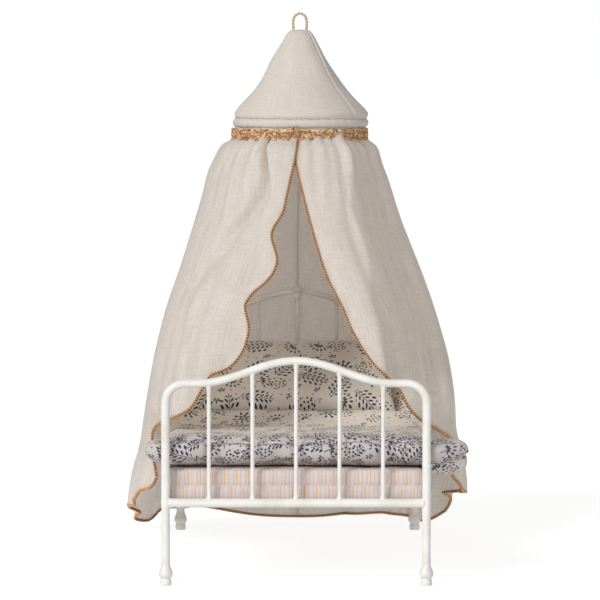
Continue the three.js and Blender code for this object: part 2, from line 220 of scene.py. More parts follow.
def smooth_curve(knots, samples, closed=False):
    """Catmull-Rom curve through the knots, evenly spaced along its length."""
    knots = np.asarray(knots, float)
    count = len(knots)
    spans = count if closed else count - 1
    out = []
    for i in range(spans):
        if closed:
            p = [knots[(i + k) % count] for k in (-1, 0, 1, 2)]
        else:
            p = [knots[min(max(i + k, 0), count - 1)] for k in (-1, 0, 1, 2)]
        for t in np.linspace(0, 1, 24, endpoint=False):
            out.append(0.5 * (
                2 * p[1] + (p[2] - p[0]) * t + (2 * p[0] - 5 * p[1] + 4 * p[2] - p[3]) * t ** 2
                + (3 * p[1] - p[0] - 3 * p[2] + p[3]) * t ** 3
            ))
    out.append(knots[0] if closed else knots[-1])
    return evenly(np.array(out), samples, closed)


def evenly(path, samples, closed=False):
    """The same path with its points at even distances."""
    distance = lengths_along(path)
    wanted = np.linspace(0, distance[-1], samples + 1 if closed else samples)
    if closed:
        wanted = wanted[:-1]
    return np.stack([np.interp(wanted, distance, path[:, k]) for k in range(path.shape[1])], 1)


def eased_path(path, passes):
    """The path with its small corners smoothed out and its ends kept."""
    path = path.copy()
    for _ in range(passes):
        path[1:-1] = (path[:-2] + 2 * path[1:-1] + path[2:]) / 4
    return path


def spline(knots):
    """Smooth function through (key, value) knots, keys falling or rising, held past the ends."""
    knots = sorted(knots)
    keys = np.array([k for k, _ in knots], float)
    values = np.array([v for _, v in knots], float)
    slopes = np.diff(values) / np.diff(keys)
    tangents = np.zeros(len(keys))
    for i in range(1, len(keys) - 1):
        if slopes[i - 1] * slopes[i] > 0:
            tangents[i] = 2 * slopes[i - 1] * slopes[i] / (slopes[i - 1] + slopes[i])
    tangents[0], tangents[-1] = slopes[0], slopes[-1]

    def value(key):
        key = np.clip(key, keys[0], keys[-1])
        i = np.clip(np.searchsorted(keys, key) - 1, 0, len(keys) - 2)
        h = keys[i + 1] - keys[i]
        t = (key - keys[i]) / h
        return (
            (1 + 2 * t) * (1 - t) ** 2 * values[i] + t * (1 - t) ** 2 * h * tangents[i]
            + t * t * (3 - 2 * t) * values[i + 1] + t * t * (t - 1) * h * tangents[i + 1]
        )

    return value


def smoothstep(low, high, x):
    t = np.clip((x - low) / (high - low), 0, 1)
    return t * t * (3 - 2 * t)


def hump(away, wide):
    """1 at a distance of nothing, dying away over a distance of about wide."""
    return np.exp(-((away / wide) ** 2))


def wander(points, scale, seed=0.0):
    """Perlin noise from -1 to 1 at each point, for lumps about scale millimetres across."""
    shifted = np.asarray(points, float) / scale + seed
    return np.array([noise.noise(Vector(p)) for p in shifted])


def apply_modifier(obj, kind, **values):
    """Adds one modifier and bakes it into the mesh."""
    modifier = obj.modifiers.new(kind.lower(), kind)
    for key, value in values.items():
        setattr(modifier, key, value)
    graph = bpy.context.evaluated_depsgraph_get()
    made = bpy.data.meshes.new_from_object(obj.evaluated_get(graph), depsgraph=graph)
    old = obj.data
    obj.modifiers.clear()
    obj.data = made
    bpy.data.meshes.remove(old)


# ---- node maths ---------------------------------------------------------------------------
def feed(tree, slot, value):
    """Sets an input of a node to a number or colour, or links it to a field or socket."""
    if isinstance(value, Field):
        value = value.socket
    if isinstance(value, bpy.types.NodeSocket):
        tree.links.new(value, slot)
    else:
        slot.default_value = value


class Field:
    """A number that varies over a surface, as a socket of a node tree, with ordinary arithmetic."""

    def __init__(self, tree, socket):
        self.tree, self.socket = tree, socket

    def maths(self, operation, *others):
        made = self.tree.nodes.new("ShaderNodeMath")
        made.operation = operation
        for slot, value in zip(made.inputs, (self,) + others):
            feed(self.tree, slot, value)
        return Field(self.tree, made.outputs[0])

    def __add__(self, other): return self.maths("ADD", other)
    def __sub__(self, other): return self.maths("SUBTRACT", other)
    def __mul__(self, other): return self.maths("MULTIPLY", other)
    def __truediv__(self, other): return self.maths("DIVIDE", other)
    def sine(self): return self.maths("SINE")
    def cosine(self): return self.maths("COSINE")
    def size(self): return self.maths("ABSOLUTE")
    def part(self): return self.maths("FRACT")
    def most(self, other): return self.maths("MAXIMUM", other)
    def least(self, other): return self.maths("MINIMUM", other)
    def below(self, other): return self.maths("LESS_THAN", other)
    def above(self, other): return self.maths("GREATER_THAN", other)

    def ease(self, low, high):
        """0 at low, 1 at high, smooth between; low may be the larger."""
        made = self.tree.nodes.new("ShaderNodeMapRange")
        made.interpolation_type = "SMOOTHSTEP"
        flip = low > high
        ends = {"Value": self, "From Min": min(low, high), "From Max": max(low, high)}
        ends |= {"To Min": float(flip), "To Max": float(not flip)}
        for slot, value in ends.items():
            feed(self.tree, made.inputs[slot], value)
        return Field(self.tree, made.outputs["Result"])


def srgb(red, green, blue):
    """Linear colour from ordinary 0-255 screen values."""
    out = []
    for c in (red, green, blue):
        c /= 255
        out.append(c / 12.92 if c <= 0.04045 else ((c + 0.055) / 1.055) ** 2.4)
    return (*out, 1.0)


class Look:
    """A node material under construction."""

    def __init__(self, name, colour, roughness, **settings):
        self.material = bpy.data.materials.new(name)
        self.material.use_nodes = True
        self.tree = self.material.node_tree
        self.shader = self.tree.nodes["Principled BSDF"]
        self.shader.inputs["Base Color"].default_value = colour
        self.shader.inputs["Roughness"].default_value = roughness
        for key, value in settings.items():
            self.shader.inputs[key.replace("_", " ")].default_value = value

    def node(self, kind, **values):
        """New node with some inputs set; an underscore in a name stands for a space."""
        made = self.tree.nodes.new("ShaderNode" + kind)
        for key, value in values.items():
            feed(self.tree, made.inputs[key.replace("_", " ")], value)
        return made

    def parts(self, vector):
        """The three parts of a vector or colour, each as a field."""
        made = self.node("SeparateXYZ", Vector=vector)
        return [Field(self.tree, made.outputs[k]) for k in ("X", "Y", "Z")]

    def cloth_plane(self):
        """u and v of the cloth map, in millimetres."""
        made = self.node("UVMap")
        made.uv_map = "cloth"
        return self.parts(made.outputs["UV"])[:2]

    def place(self):
        return self.node("TexCoord").outputs["Object"]

    def vector(self, x, y):
        return self.node("CombineXYZ", X=x, Y=y).outputs[0]

    def cloud(self, vector, scale, detail=2.0, rough=0.5):
        """Noise from about 0 to 1."""
        made = self.node("TexNoise", Vector=vector, Scale=scale, Detail=detail, Roughness=rough)
        return Field(self.tree, made.outputs["Fac"])

    def cells(self, vector, randomness=1.0):
        """Distance to the nearest cell point, that point, and a random colour for the cell."""
        made = self.node("TexVoronoi", Scale=1.0, Randomness=randomness)
        made.voronoi_dimensions = "2D"
        feed(self.tree, made.inputs["Vector"], vector)
        distance = Field(self.tree, made.outputs["Distance"])
        return [distance] + self.parts(made.outputs["Position"])[:2] + self.parts(made.outputs["Color"])

    def mixed(self, share, first, second):
        """Colour between first and second, each a colour or the output of an earlier mix."""
        made = self.node("Mix", Factor=share)
        made.data_type = "RGBA"
        for slot, value in (("A", first), ("B", second)):
            feed(self.tree, [s for s in made.inputs if s.name == slot and s.type == "RGBA"][0], value)
        return [s for s in made.outputs if s.type == "RGBA"][0]

    def colour(self, socket):
        feed(self.tree, self.shader.inputs["Base Color"], socket)

    def rough(self, field):
        feed(self.tree, self.shader.inputs["Roughness"], field)

    def bump(self, field, height_mm, strength):
        made = self.node("Bump", Strength=strength, Distance=height_mm * MM, Height=field)
        feed(self.tree, self.shader.inputs["Normal"], made.outputs["Normal"])


# ---- materials ----------------------------------------------------------------------------
def weave(look, u, v, pitch):
    """Height of a plain weave, from 0 to 1: over and under threads of uneven thickness."""
    wobble = look.cloud(look.vector(u * 0.25, v * 0.25), 1.0, 2.0)
    uneven = (wobble - 0.5) * 1.6
    warp = ((u / pitch + uneven) * TAU).sine() * 0.5 + 0.5
    weft = ((v / pitch + uneven) * TAU).sine() * 0.5 + 0.5
    return warp * 0.5 + weft * 0.5


def slubs(look, u, v):
    """Streaks of thicker thread along both directions, about 0 to 1."""
    down = look.cloud(look.vector(u * 3.1, v * 0.07), 1.0, 3.0, 0.6)
    across = look.cloud(look.vector(u * 0.11, v * 3.1), 1.0, 3.0, 0.6)
    return down * 0.58 + across * 0.42


def enamel():
    look = Look("white_enamel", srgb(238, 236, 230), 0.3, Coat_Weight=0.35, Coat_Roughness=0.15)
    place = look.place()
    dust = look.cloud(place, 90.0, 4.0)
    look.colour(look.mixed(dust.ease(0.35, 0.75), srgb(226, 224, 220), srgb(214, 210, 202)))
    look.rough(dust * 0.16 + 0.22)
    look.bump(look.cloud(place, 420.0, 2.0), 0.05, 0.35)
    return look.material


def linen(name, lit, shade, through_share):
    """Open-weave linen: some of the light that falls on its far side comes through."""
    look = Look(name, lit, 0.92, Sheen_Weight=0.12, Sheen_Roughness=0.6)
    u, v = look.cloth_plane()
    streak = slubs(look, u, v)
    threads = weave(look, u, v, 0.62)
    tone = look.mixed(streak.ease(0.36, 0.62), shade, lit)
    fine = look.cloud(look.vector(u * 1.3, v * 1.3), 1.0, 3.0)
    tone = look.mixed(fine.ease(0.3, 0.75) * 0.3, tone, shade)
    tone = look.mixed(threads * 0.14, tone, shade)
    look.colour(tone)
    look.bump(threads * 0.6 + streak * 1.0, 0.2, 0.5)
    thin = look.mixed((streak * 0.6 + fine * 0.4).ease(0.38, 0.6), srgb(242, 230, 216), srgb(255, 255, 255))
    through = look.node("BsdfTranslucent", Color=thin)
    both = look.node("MixShader", Fac=through_share)
    feed(look.tree, both.inputs[1], look.shader.outputs[0])
    feed(look.tree, both.inputs[2], through.outputs[0])
    feed(look.tree, look.tree.nodes["Material Output"].inputs["Surface"], both.outputs[0])
    return look.material


def gold_thread(name, pitch, light, mid, gap_shade_painted):
    """Thread wound round a cord, one turn each pitch millimetres along it. Painted shade darkens the gap
    between turns, and a painted highlight lies along the crest of each turn.
    """
    look = Look(name, mid, 0.55, Sheen_Weight=0.4, Sheen_Roughness=0.35)
    u, v = look.cloth_plane()
    turn = ((u / pitch) * TAU).cosine() * 0.5 + 0.5
    fuzz = look.cloud(look.vector(u * 2.2, v * 1.4), 1.0, 3.0)
    # Painted shade in the gaps between turns, then a painted highlight on the crests.
    tone = look.mixed(turn.ease(0.1, 0.75), gap_shade_painted, mid)
    tone = look.mixed((turn * fuzz).ease(0.38, 0.72), tone, light)
    look.colour(tone)
    look.bump(fuzz, 0.12, 0.6)
    return look.material


def lace_thread():
    """Golden gimp in random dark brown and gold patches, with painted highlights scattered over it as glints.
    """
    look = Look("gold_crochet", srgb(190, 142, 88), 0.5, Sheen_Weight=0.4, Sheen_Roughness=0.35)
    place = look.place()
    patches_and_glints = look.cloud(place, 700.0, 2.0)
    fuzz = look.cloud(place, 2400.0, 2.0)
    tone = look.mixed(patches_and_glints.ease(0.36, 0.56), srgb(134, 84, 46), srgb(198, 148, 92))
    # Painted highlight: pale glints where the patches and the fuzz are strongest.
    look.colour(look.mixed((patches_and_glints * 0.6 + fuzz * 0.4).ease(0.5, 0.64), tone, srgb(246, 220, 172)))
    look.bump(fuzz, 0.1, 0.5)
    return look.material


def ticking():
    """Cream cloth with orange stripes and paired mauve lines, the lower panel half a repeat over."""
    repeat = 5.6
    look = Look("striped_ticking", srgb(228, 217, 209), 0.95)
    u, v = look.cloth_plane()
    offset = v.below(0.0) * 0.42
    wobble = (look.cloud(look.vector(u * 0.2, v * 0.5), 1.0, 2.0) - 0.5) * 0.06
    at = (u / repeat + offset + wobble).part()
    ground = look.mixed(slubs(look, u, v).ease(0.3, 0.75), srgb(194, 184, 180), srgb(208, 199, 196))
    faint = ((at - 0.62).size().below(0.05)).most((at - 0.28).size().below(0.03)) * 0.5
    tone = look.mixed(faint, ground, srgb(214, 196, 180))
    mauve = ((at - 0.44).size().below(0.035)).most((at - 0.86).size().below(0.045)) * 0.75
    tone = look.mixed(mauve, tone, srgb(192, 168, 172))
    orange = (at - 0.12).size().ease(0.055, 0.04) * 0.85
    look.colour(look.mixed(orange, tone, srgb(216, 158, 92)))
    look.bump(weave(look, u, v, 0.55), 0.12, 0.5)
    return look.material


def leaf_rows(x, across, first, length, width, pitch, lean=0.75):
    """Leaves in pairs off a stem along x, starting first millimetres from it.
    The result is how far inside the nearest leaf a point lies, in millimetres."""
    reach = (across.size() - first) / length
    turn = ((x - across.size() * lean) / pitch).part() - 0.5
    half = (reach.most(0.0).least(1.0) * math.pi).sine() * width
    return half - turn.size() * pitch * 0.8


def petals(x, y, count, inner, length, width):
    """Leaves set all round a point; the result is how far inside the nearest one a point lies."""
    radius = (x * x + y * y).maths("SQRT")
    turn = (y.maths("ARCTAN2", x) * (count / TAU)).part() - 0.5
    half = (((radius - inner) / length).most(0.0).least(1.0) * math.pi).sine() * width
    return half - turn.size() * radius * (TAU / count)


def filled(inside):
    """1 inside a motif and 0 outside, with an edge 0.18 mm soft."""
    return inside.ease(-0.09, 0.09)


def motif_plane(look, u, v, size, shift, randomness):
    """Scatters motif centres about size millimetres apart. Returns the place in the nearest motif's own
    turned axes, a chance value and the distance to its centre."""
    across, up = u / size + shift, v / size + shift * 0.7
    distance, spot_x, spot_y, chance, spin, _ = look.cells(look.vector(across, up), randomness)
    dx, dy = (across - spot_x) * size, (up - spot_y) * size
    c, s = (spin * TAU).cosine(), (spin * TAU).sine()
    return dx * c + dy * s, dy * c - dx * s, chance, distance * size


def berries(look, x, y):
    """Loose cluster of berries about 10 mm across."""
    pitch = 1.75
    distance, _, _, keep, _, _ = look.cells(look.vector(x / pitch, y / pitch), 0.62)
    spread = (x * x + y * y * 1.35).maths("SQRT")
    return filled(distance * -pitch + 0.54) * spread.below(4.9) * keep.above(0.1)


def branch(x, y):
    """Plume 18 mm long: separate leaves in rows either side of a stem."""
    taper = (x + 9.0).least(x * -1.0 + 9.0) * 1.1
    inside_plume = y.size().below(taper.least(5.6))
    near = filled(leaf_rows(x, y, 0.45, 2.3, 0.6, 2.5, 0.7))
    far = filled(leaf_rows(x + 1.2, y, 3.1, 2.3, 0.68, 2.9, 0.5))
    stem = y.size().ease(0.3, 0.12) * x.size().below(8.8)
    return (near.most(far) * inside_plume).most(stem)


def posy(x, y):
    """Dense bunch of leaves round a point."""
    inner = filled(petals(x * 0.8, y, 6.0, 0.6, 2.5, 0.66))
    outer = filled(petals(x * 0.8 + 0.3, y, 9.0, 2.9, 2.6, 0.66))
    return inner.most(outer)


def spray(x, y):
    """Leaves fanned from a stalk."""
    inner = filled(petals(x, y + 2.4, 11.0, 1.0, 2.7, 0.62))
    outer = filled(petals(x + 0.2, y + 2.2, 14.0, 4.0, 2.6, 0.6))
    stalk = (x + y * 0.2).size().ease(0.34, 0.16) * y.below(-1.2) * y.above(-5.0)
    return (inner.most(outer) * y.above(-1.9)).most(stalk)


def floral():
    """Navy berries, plumes, posies, sprays, small sprigs and dots printed on oatmeal linen. On the roll at
    the foot of the quilt the ground is painted greyer as painted shade, and its gathered cloth shows more
    leaves."""
    look = Look("floral_print", srgb(205, 192, 176), 0.94, Sheen_Weight=0.1)
    u, v = look.cloth_plane()
    ground = look.mixed(slubs(look, u, v).ease(0.28, 0.75), srgb(204, 194, 183), srgb(222, 214, 206))
    rolled = look.parts(look.place())[1].ease(-0.096, -0.103)
    # Painted shade: the ground on the roll at the foot is mixed towards grey, standing in for the shade the
    # roll lies in.
    ground = look.mixed(rolled * 0.7, ground, srgb(177, 169, 170))
    x, y, kind, away = motif_plane(look, u, v, 13.8, 0.37, 0.6)
    large = berries(look, x, y) * kind.below(0.44)
    large = large.most(branch(x * 1.05, y * 1.1) * kind.above(0.44) * kind.below(0.7) * away.below(8.8))
    large = large.most(posy(x * 1.1, y * 1.1) * kind.above(0.7) * kind.below(0.85))
    large = large.most(spray(x * 1.15, y * 1.15) * kind.above(0.85))
    sx, sy, chance, small_away = motif_plane(look, u, v, 8.2, 5.13, 0.75)
    sprig = filled(petals(sx, sy + 0.4, 6.0, 0.3, 2.2, 0.46)) * sy.above(-0.9)
    sprig = sprig * away.above(6.7) * chance.above(0.2) * small_away.below(2.7)
    _, _, chance, dot_away = motif_plane(look, u, v, 4.2, 9.71, 0.85)
    dots = filled(dot_away * -1.0 + 0.42) * chance.above(0.42) * away.above(5.6)
    rx, ry, chance, between = motif_plane(look, u, v, 6.6, 2.83, 0.8)
    gathered = filled(leaf_rows(rx, ry, 0.3, 1.9, 0.5, 1.7, 0.6)).most(ry.size().ease(0.26, 0.1))
    gathered = gathered * between.below(2.9) * away.above(4.9) * chance.above(0.25) * rolled
    ink = large.most(sprig).most(dots).most(gathered)
    wear = look.cloud(look.vector(u * 1.1, v * 1.1), 1.0, 3.0).ease(0.15, 0.55)
    look.colour(look.mixed(ink * (wear * 0.2 + 0.78), ground, srgb(32, 36, 62)))
    look.bump(weave(look, u, v, 0.58) * 0.7 + slubs(look, u, v), 0.18, 0.5)
    return look.material


def floor_look():
    """Pale matt floor, lit a little from within so that it reads as studio white."""
    look = Look("floor", srgb(150, 150, 150), 0.85)
    feed(look.tree, look.shader.inputs["Emission Color"], srgb(255, 255, 255))
    seen = Field(look.tree, look.node("LightPath").outputs["Is Camera Ray"])
    feed(look.tree, look.shader.inputs["Emission Strength"], seen * 0.3 + 0.52)
    return look.material


ENAMEL = enamel()
LINEN = linen("linen_gauze", srgb(252, 250, 248), srgb(218, 211, 203), 0.6)
LINEN_DOUBLE = linen("linen_double", srgb(220, 212, 205), srgb(200, 190, 181), 0.14)
STITCH = 1.4
# For each gold thread, the first colour is the painted highlight on the crests and the last is the painted
# shade in the gaps between turns.
EDGING = gold_thread("gold_overcast", STITCH, srgb(246, 216, 160), srgb(186, 126, 62), srgb(70, 40, 18))
CROCHET = lace_thread()
# Painted highlight and painted gap shade here too, as for the edging.
CORD = gold_thread("cord_thread", 1.6, srgb(214, 196, 166), srgb(194, 172, 138), srgb(168, 144, 112))
TICKING = ticking()
FLORAL = floral()


# ---- enamelled bed frame ------------------------------------------------------------------
def arch_height(x, crown, rise):
    """Height of an arch's centre line at x: crown in the middle, rise lower at the shoulders."""
    reach = np.clip(np.abs(x) / ARCH_HALF, 0, 1)
    return crown - rise * np.sin(reach * math.pi / 2) ** 2


def bow_path(y, start_z, crown, rise, samples):
    """Centre line of one bent tube: post, bend, arch, bend, post."""
    shoulder = crown - rise
    turn = np.linspace(0, math.pi / 2, 12)
    half = [(-POST_X, z) for z in np.linspace(start_z, shoulder - BEND_R - 0.5, 14)]
    half += [(-POST_X + BEND_R * (1 - math.cos(a)), shoulder - BEND_R * (1 - math.sin(a))) for a in turn]
    half += [(x, arch_height(x, crown, rise)) for x in np.linspace(-ARCH_HALF, 0, 40)[:-1]]
    points = half + [(0.0, crown)] + [(-x, z) for x, z in reversed(half)]
    return evenly(np.array([(x, y, z) for x, z in points]), samples)


def enamelled(name, points, faces, node):
    finish_piece(mesh_object(name, points, faces), ENAMEL, "white_enamel", "bed_frame", node)


def bar(name, start, end, radius, node, flare, run, bury=1.0):
    """Round bar between two surfaces. Its ends are buried a little in them and swell by flare over a length
    of about run, as welds do."""
    start, end = np.asarray(start, float), np.asarray(end, float)
    way = (end - start) / np.linalg.norm(end - start)
    length = np.linalg.norm(end - start)
    shares = (1 - np.cos(np.linspace(0, math.pi, 60))) / 2
    path = start + np.outer(shares * (length + 2 * bury) - bury, way)
    inside = np.clip(shares * (length + 2 * bury) - bury, 0, length)
    near = np.minimum(inside, length - inside)
    radii = radius + flare * np.exp(-((near / run) ** 2) * 1.6)
    enamelled(name, *sweep(path, radii, 20)[:2], node)


def bed_end(prefix, y, crown, rise, tube):
    """Upright bars and lower rail of one end; the headboard's middle bar stops under its rosette."""
    for i, x in enumerate(SPINDLE_X):
        top = arch_height(x, crown, rise) - tube
        drop = 2.2 if prefix == "headboard" and x == 0 else 0
        bar(f"{prefix}_bar_{i + 1}", (x, y, RAIL_Z + TUBE_R), (x, y, top - drop), SPINDLE_R,
            f"{prefix}_spindle_{i + 1}", flare=0.45, run=1.0, bury=0.8)
    bar(f"{prefix}_rail", (-POST_X + TUBE_R, y, RAIL_Z), (POST_X - TUBE_R, y, RAIL_Z), RAIL_R,
        f"{prefix}_lower_rail", flare=0.2, run=1.5)


def foot_profile():
    knots = [(0.001, 0), (2.1, 0), (2.5, 0.15), (2.62, 0.6), (2.6, 2.3), (2.35, 2.9), (2.28, 3.3), (2.6, 3.7),
             (3.1, 4.5), (3.24, 5.4), (3.05, 6.5), (2.6, 7.6), (2.2, 8.6), (2.02, 9.6), (1.98, 10.6)]
    return smooth_curve(knots, 60)


def rosette_profile():
    knots = [(0.001, -4.3), (1.25, -4.2), (1.9, -3.7), (2.4, -2.7), (2.42, -2.0), (1.95, -1.1), (2.0, -0.5),
             (2.7, 0.1), (2.95, 0.9), (2.8, 1.8), (2.2, 2.6), (1.2, 3.05), (0.001, 3.15)]
    return smooth_curve(knots, 60)


def bed_frame():
    bow = bow_path(FOOT_Y, FOOT_TOP - 0.6, FOOT_CROWN_Z, FOOT_RISE, 260)
    on_arch = smoothstep(POST_X, POST_X - 12, np.abs(bow[:, 0]))
    radii = TUBE_R + (ARCH_TUBE_R - TUBE_R) * on_arch
    enamelled("footboard_tube", *sweep(bow, radii, 28)[:2], "footboard_bow")
    post_top = box_mm("headboard_post_left")[1][2]
    arch = bow_path(HEAD_Y, post_top - 1.0, HEAD_CROWN_Z, HEAD_RISE, 220)
    enamelled("headboard_rod", *sweep(arch, ROD_R, 20)[:2], "headboard_arch")
    for side, x in (("left", -POST_X), ("right", POST_X)):
        heights = np.linspace(FOOT_TOP - 0.6, post_top, 40)
        radii = TUBE_R - (TUBE_R - ROD_R) * smoothstep(post_top - 1.6, post_top, heights)
        path = np.stack([np.full(40, x), np.full(40, HEAD_Y), heights], 1)
        enamelled(f"headboard_tube_{side}", *sweep(path, radii, 24)[:2], f"headboard_post_{side}")
        bar(f"side_tube_{side}", (x, FOOT_Y + TUBE_R, RAIL_Z), (x, HEAD_Y - TUBE_R, RAIL_Z), RAIL_R,
            f"side_rail_{side}", flare=0.2, run=1.5)
    bed_end("footboard", FOOT_Y, FOOT_CROWN_Z, FOOT_RISE, ARCH_TUBE_R)
    bed_end("headboard", HEAD_Y, HEAD_CROWN_Z, HEAD_RISE, ROD_R)
    for end, y in (("front", FOOT_Y), ("rear", HEAD_Y)):
        for side, x in (("left", -POST_X), ("right", POST_X)):
            enamelled(f"turned_foot_{end}_{side}", *turned(foot_profile(), (x, y, 0)), f"foot_{end}_{side}")
    enamelled("cast_rosette", *turned(rosette_profile(), (0, HEAD_Y, HEAD_CROWN_Z)), "headboard_rosette")
    for i in range(1, 8):
        low, high = box_mm(f"cross_wire_{i}")
        y, z = (low[1] + high[1]) / 2, (low[2] + high[2]) / 2
        bar(f"base_wire_{i}", (low[0] - 0.5, y, z), (high[0] + 0.5, y, z), 0.8, f"cross_wire_{i}",
            flare=0.5, run=0.8, bury=0.3)


# ---- bedding ------------------------------------------------------------------------------
def clustered(count):
    """Steps from -1 to 1, closer together at the ends."""
    t = np.linspace(-1, 1, count)
    return np.sin(t * math.pi / 2) * 0.25 + np.sign(t) * (1 - (1 - np.abs(t)) ** 2) * 0.75


def soft_box(half, radius, counts):
    """Rounded box about the origin, as a bmesh with a grid on each side.
    The cloth map is in millimetres: across and up on the walls, across and along on the top."""
    mesh = bmesh.new()
    layer = mesh.loops.layers.uv.new("cloth")
    steps = [clustered(c) for c in counts]
    for axis in range(3):
        a, b = (axis + 1) % 3, (axis + 2) % 3
        for sign in (-1, 1):
            grid = []
            for s in steps[a]:
                for t in steps[b]:
                    p = np.zeros(3)
                    p[axis], p[a], p[b] = sign * half[axis], s * half[a], t * half[b]
                    grid.append(mesh.verts.new(p))
            n = len(steps[b])
            for i in range(len(steps[a]) - 1):
                for j in range(n - 1):
                    near, far = i * n + j, (i + 1) * n + j
                    corners = [grid[near], grid[far], grid[far + 1], grid[near + 1]]
                    face = mesh.faces.new(corners if sign > 0 else corners[::-1])
                    face.smooth = True
                    for loop in face.loops:
                        x, y, z = loop.vert.co
                        across = y if axis == 0 else x
                        loop[layer].uv = (across, y + 40 if axis == 2 else z)
    bmesh.ops.remove_doubles(mesh, verts=mesh.verts, dist=0.0005)
    inner = np.array(half) - radius
    for vert in mesh.verts:
        p = np.array(vert.co)
        core = np.clip(p, -inner, inner)
        d = p - core
        size = np.linalg.norm(d)
        vert.co = core + d * (radius / size if size > 1e-6 else 1)
    return mesh


def ticking_relief(p, half):
    """How far a point of the mattress moves: the walls are drawn in at the seam round the middle and
    puckered along it, and the top and bottom are slightly lumpy."""
    out = np.zeros(3)
    if max(abs(p[0]) / half[0], abs(p[1]) / half[1]) > 0.93:
        side_x = abs(p[0]) / half[0] > abs(p[1]) / half[1]
        direction = np.array([np.sign(p[0]), 0, 0]) if side_x else np.array([0, np.sign(p[1]), 0])
        along = p[1] if side_x else p[0]
        seam = hump(p[2], 0.55)
        panel = abs(math.sin(math.pi * p[2] / half[2])) ** 0.6
        pucker = math.sin(along * 1.55 + 1.7 * math.sin(along * 0.31)) * math.exp(-abs(p[2]) / 2.6)
        lump = noise.noise(Vector((along * 0.11, p[2] * 0.16, 3.0 if side_x else 7.0)))
        out += direction * (-0.75 * seam + 0.35 * panel - 0.6 + 0.22 * pucker + 0.7 * lump)
    if abs(p[2]) / half[2] > 0.9:
        lump = noise.noise(Vector((p[0] * 0.045, p[1] * 0.045, 11.0)))
        out += np.array([0, 0, np.sign(p[2]) * (0.5 * lump - 0.4)])
    return out


def mattress():
    pressed, wider = 3.2, 3.2
    centre = (MATTRESS_LOW + MATTRESS_HIGH) / 2 - np.array([0, 0, pressed / 2])
    half = (MATTRESS_HIGH - MATTRESS_LOW) / 2 + np.array([wider, 0, -pressed / 2])
    mesh = soft_box(half, 3.4, (110, 150, 34))
    for vert in mesh.verts:
        p = np.array(vert.co)
        vert.co = (p + ticking_relief(p, half) + centre) * MM
    data = bpy.data.meshes.new("mattress_pad")
    mesh.to_mesh(data)
    mesh.free()
    obj = bpy.data.objects.new("mattress_pad", data)
    bpy.context.scene.collection.objects.link(obj)
    finish_piece(obj, TICKING, "striped_ticking", "bed_frame", "mattress")


def sewn_sheets(columns, rows):
    """Grid of two sheets sewn together at the rim: the (a, b) of each point, from -1 to 1, its sheet (+1
    upper, 0 seam, -1 lower), the faces, and the grid place of every corner of the upper and lower faces."""
    spread = np.linspace(-1, 1, columns)
    spread = 0.65 * spread + 0.35 * np.sin(spread * math.pi / 2)
    a, b = np.meshgrid(spread, np.linspace(-1, 1, rows))
    a, b = a.ravel(), b.ravel()
    rim = (np.abs(np.abs(a) - 1) < 1e-9) | (np.abs(np.abs(b) - 1) < 1e-9)
    lower_of = np.arange(len(a))
    inner = np.where(~rim)[0]
    lower_of[inner] = len(a) + np.arange(len(inner))
    top = grid_faces(columns, rows)
    bottom = [tuple(reversed(f)) for f in top]
    faces = top + [tuple(int(lower_of[i]) for i in f) for f in bottom]
    sheet = np.concatenate([np.where(rim, 0, 1), -np.ones(len(inner))])
    params = np.concatenate([np.stack([a, b], 1), np.stack([a[inner], b[inner]], 1)])
    return params, sheet, faces, np.array(top), np.array(bottom)


def inflate(obj, pressure, stiffness, most_mm):
    """Cloth simulation of a sewn pad, run ten times life size so that the solver is steady. No point moves
    further than most_mm."""
    scale, frames = 10.0, 18
    mesh = obj.data
    start = np.zeros(len(mesh.vertices) * 3, np.float32)
    mesh.vertices.foreach_get("co", start)
    mesh.vertices.foreach_set("co", start * scale)
    mesh.update()
    cloth = obj.modifiers.new("cloth", "CLOTH")
    values = {
        "quality": 6, "mass": 0.3, "air_damping": 4,
        "tension_stiffness": stiffness, "compression_stiffness": stiffness,
        "shear_stiffness": stiffness * 0.4, "bending_stiffness": 0.6,
        "use_pressure": True, "uniform_pressure_force": pressure,
    }
    for key, value in values.items():
        setattr(cloth.settings, key, value)
    cloth.settings.effector_weights.gravity = 0
    cloth.collision_settings.use_collision = False
    cloth.point_cache.frame_start = 1
    cloth.point_cache.frame_end = frames
    for number in range(1, frames + 1):
        bpy.context.scene.frame_set(number)
    graph = bpy.context.evaluated_depsgraph_get()
    made = obj.evaluated_get(graph).to_mesh()
    moved = np.zeros_like(start)
    made.vertices.foreach_get("co", moved)
    obj.evaluated_get(graph).to_mesh_clear()
    obj.modifiers.remove(cloth)
    moved /= scale
    shift = (moved - start).reshape(-1, 3)
    size = np.linalg.norm(shift, axis=1)
    shift *= (np.minimum(size, most_mm * MM) / np.maximum(size, 1e-9))[:, None]
    mesh.vertices.foreach_set("co", (start.reshape(-1, 3) + shift).ravel())
    mesh.update()
    bpy.context.scene.frame_set(1)


PILLOW_TILT = math.radians(38)
PILLOW_CENTRE = middle("pillow") + np.array([-2.5, 1.2, 1.6])


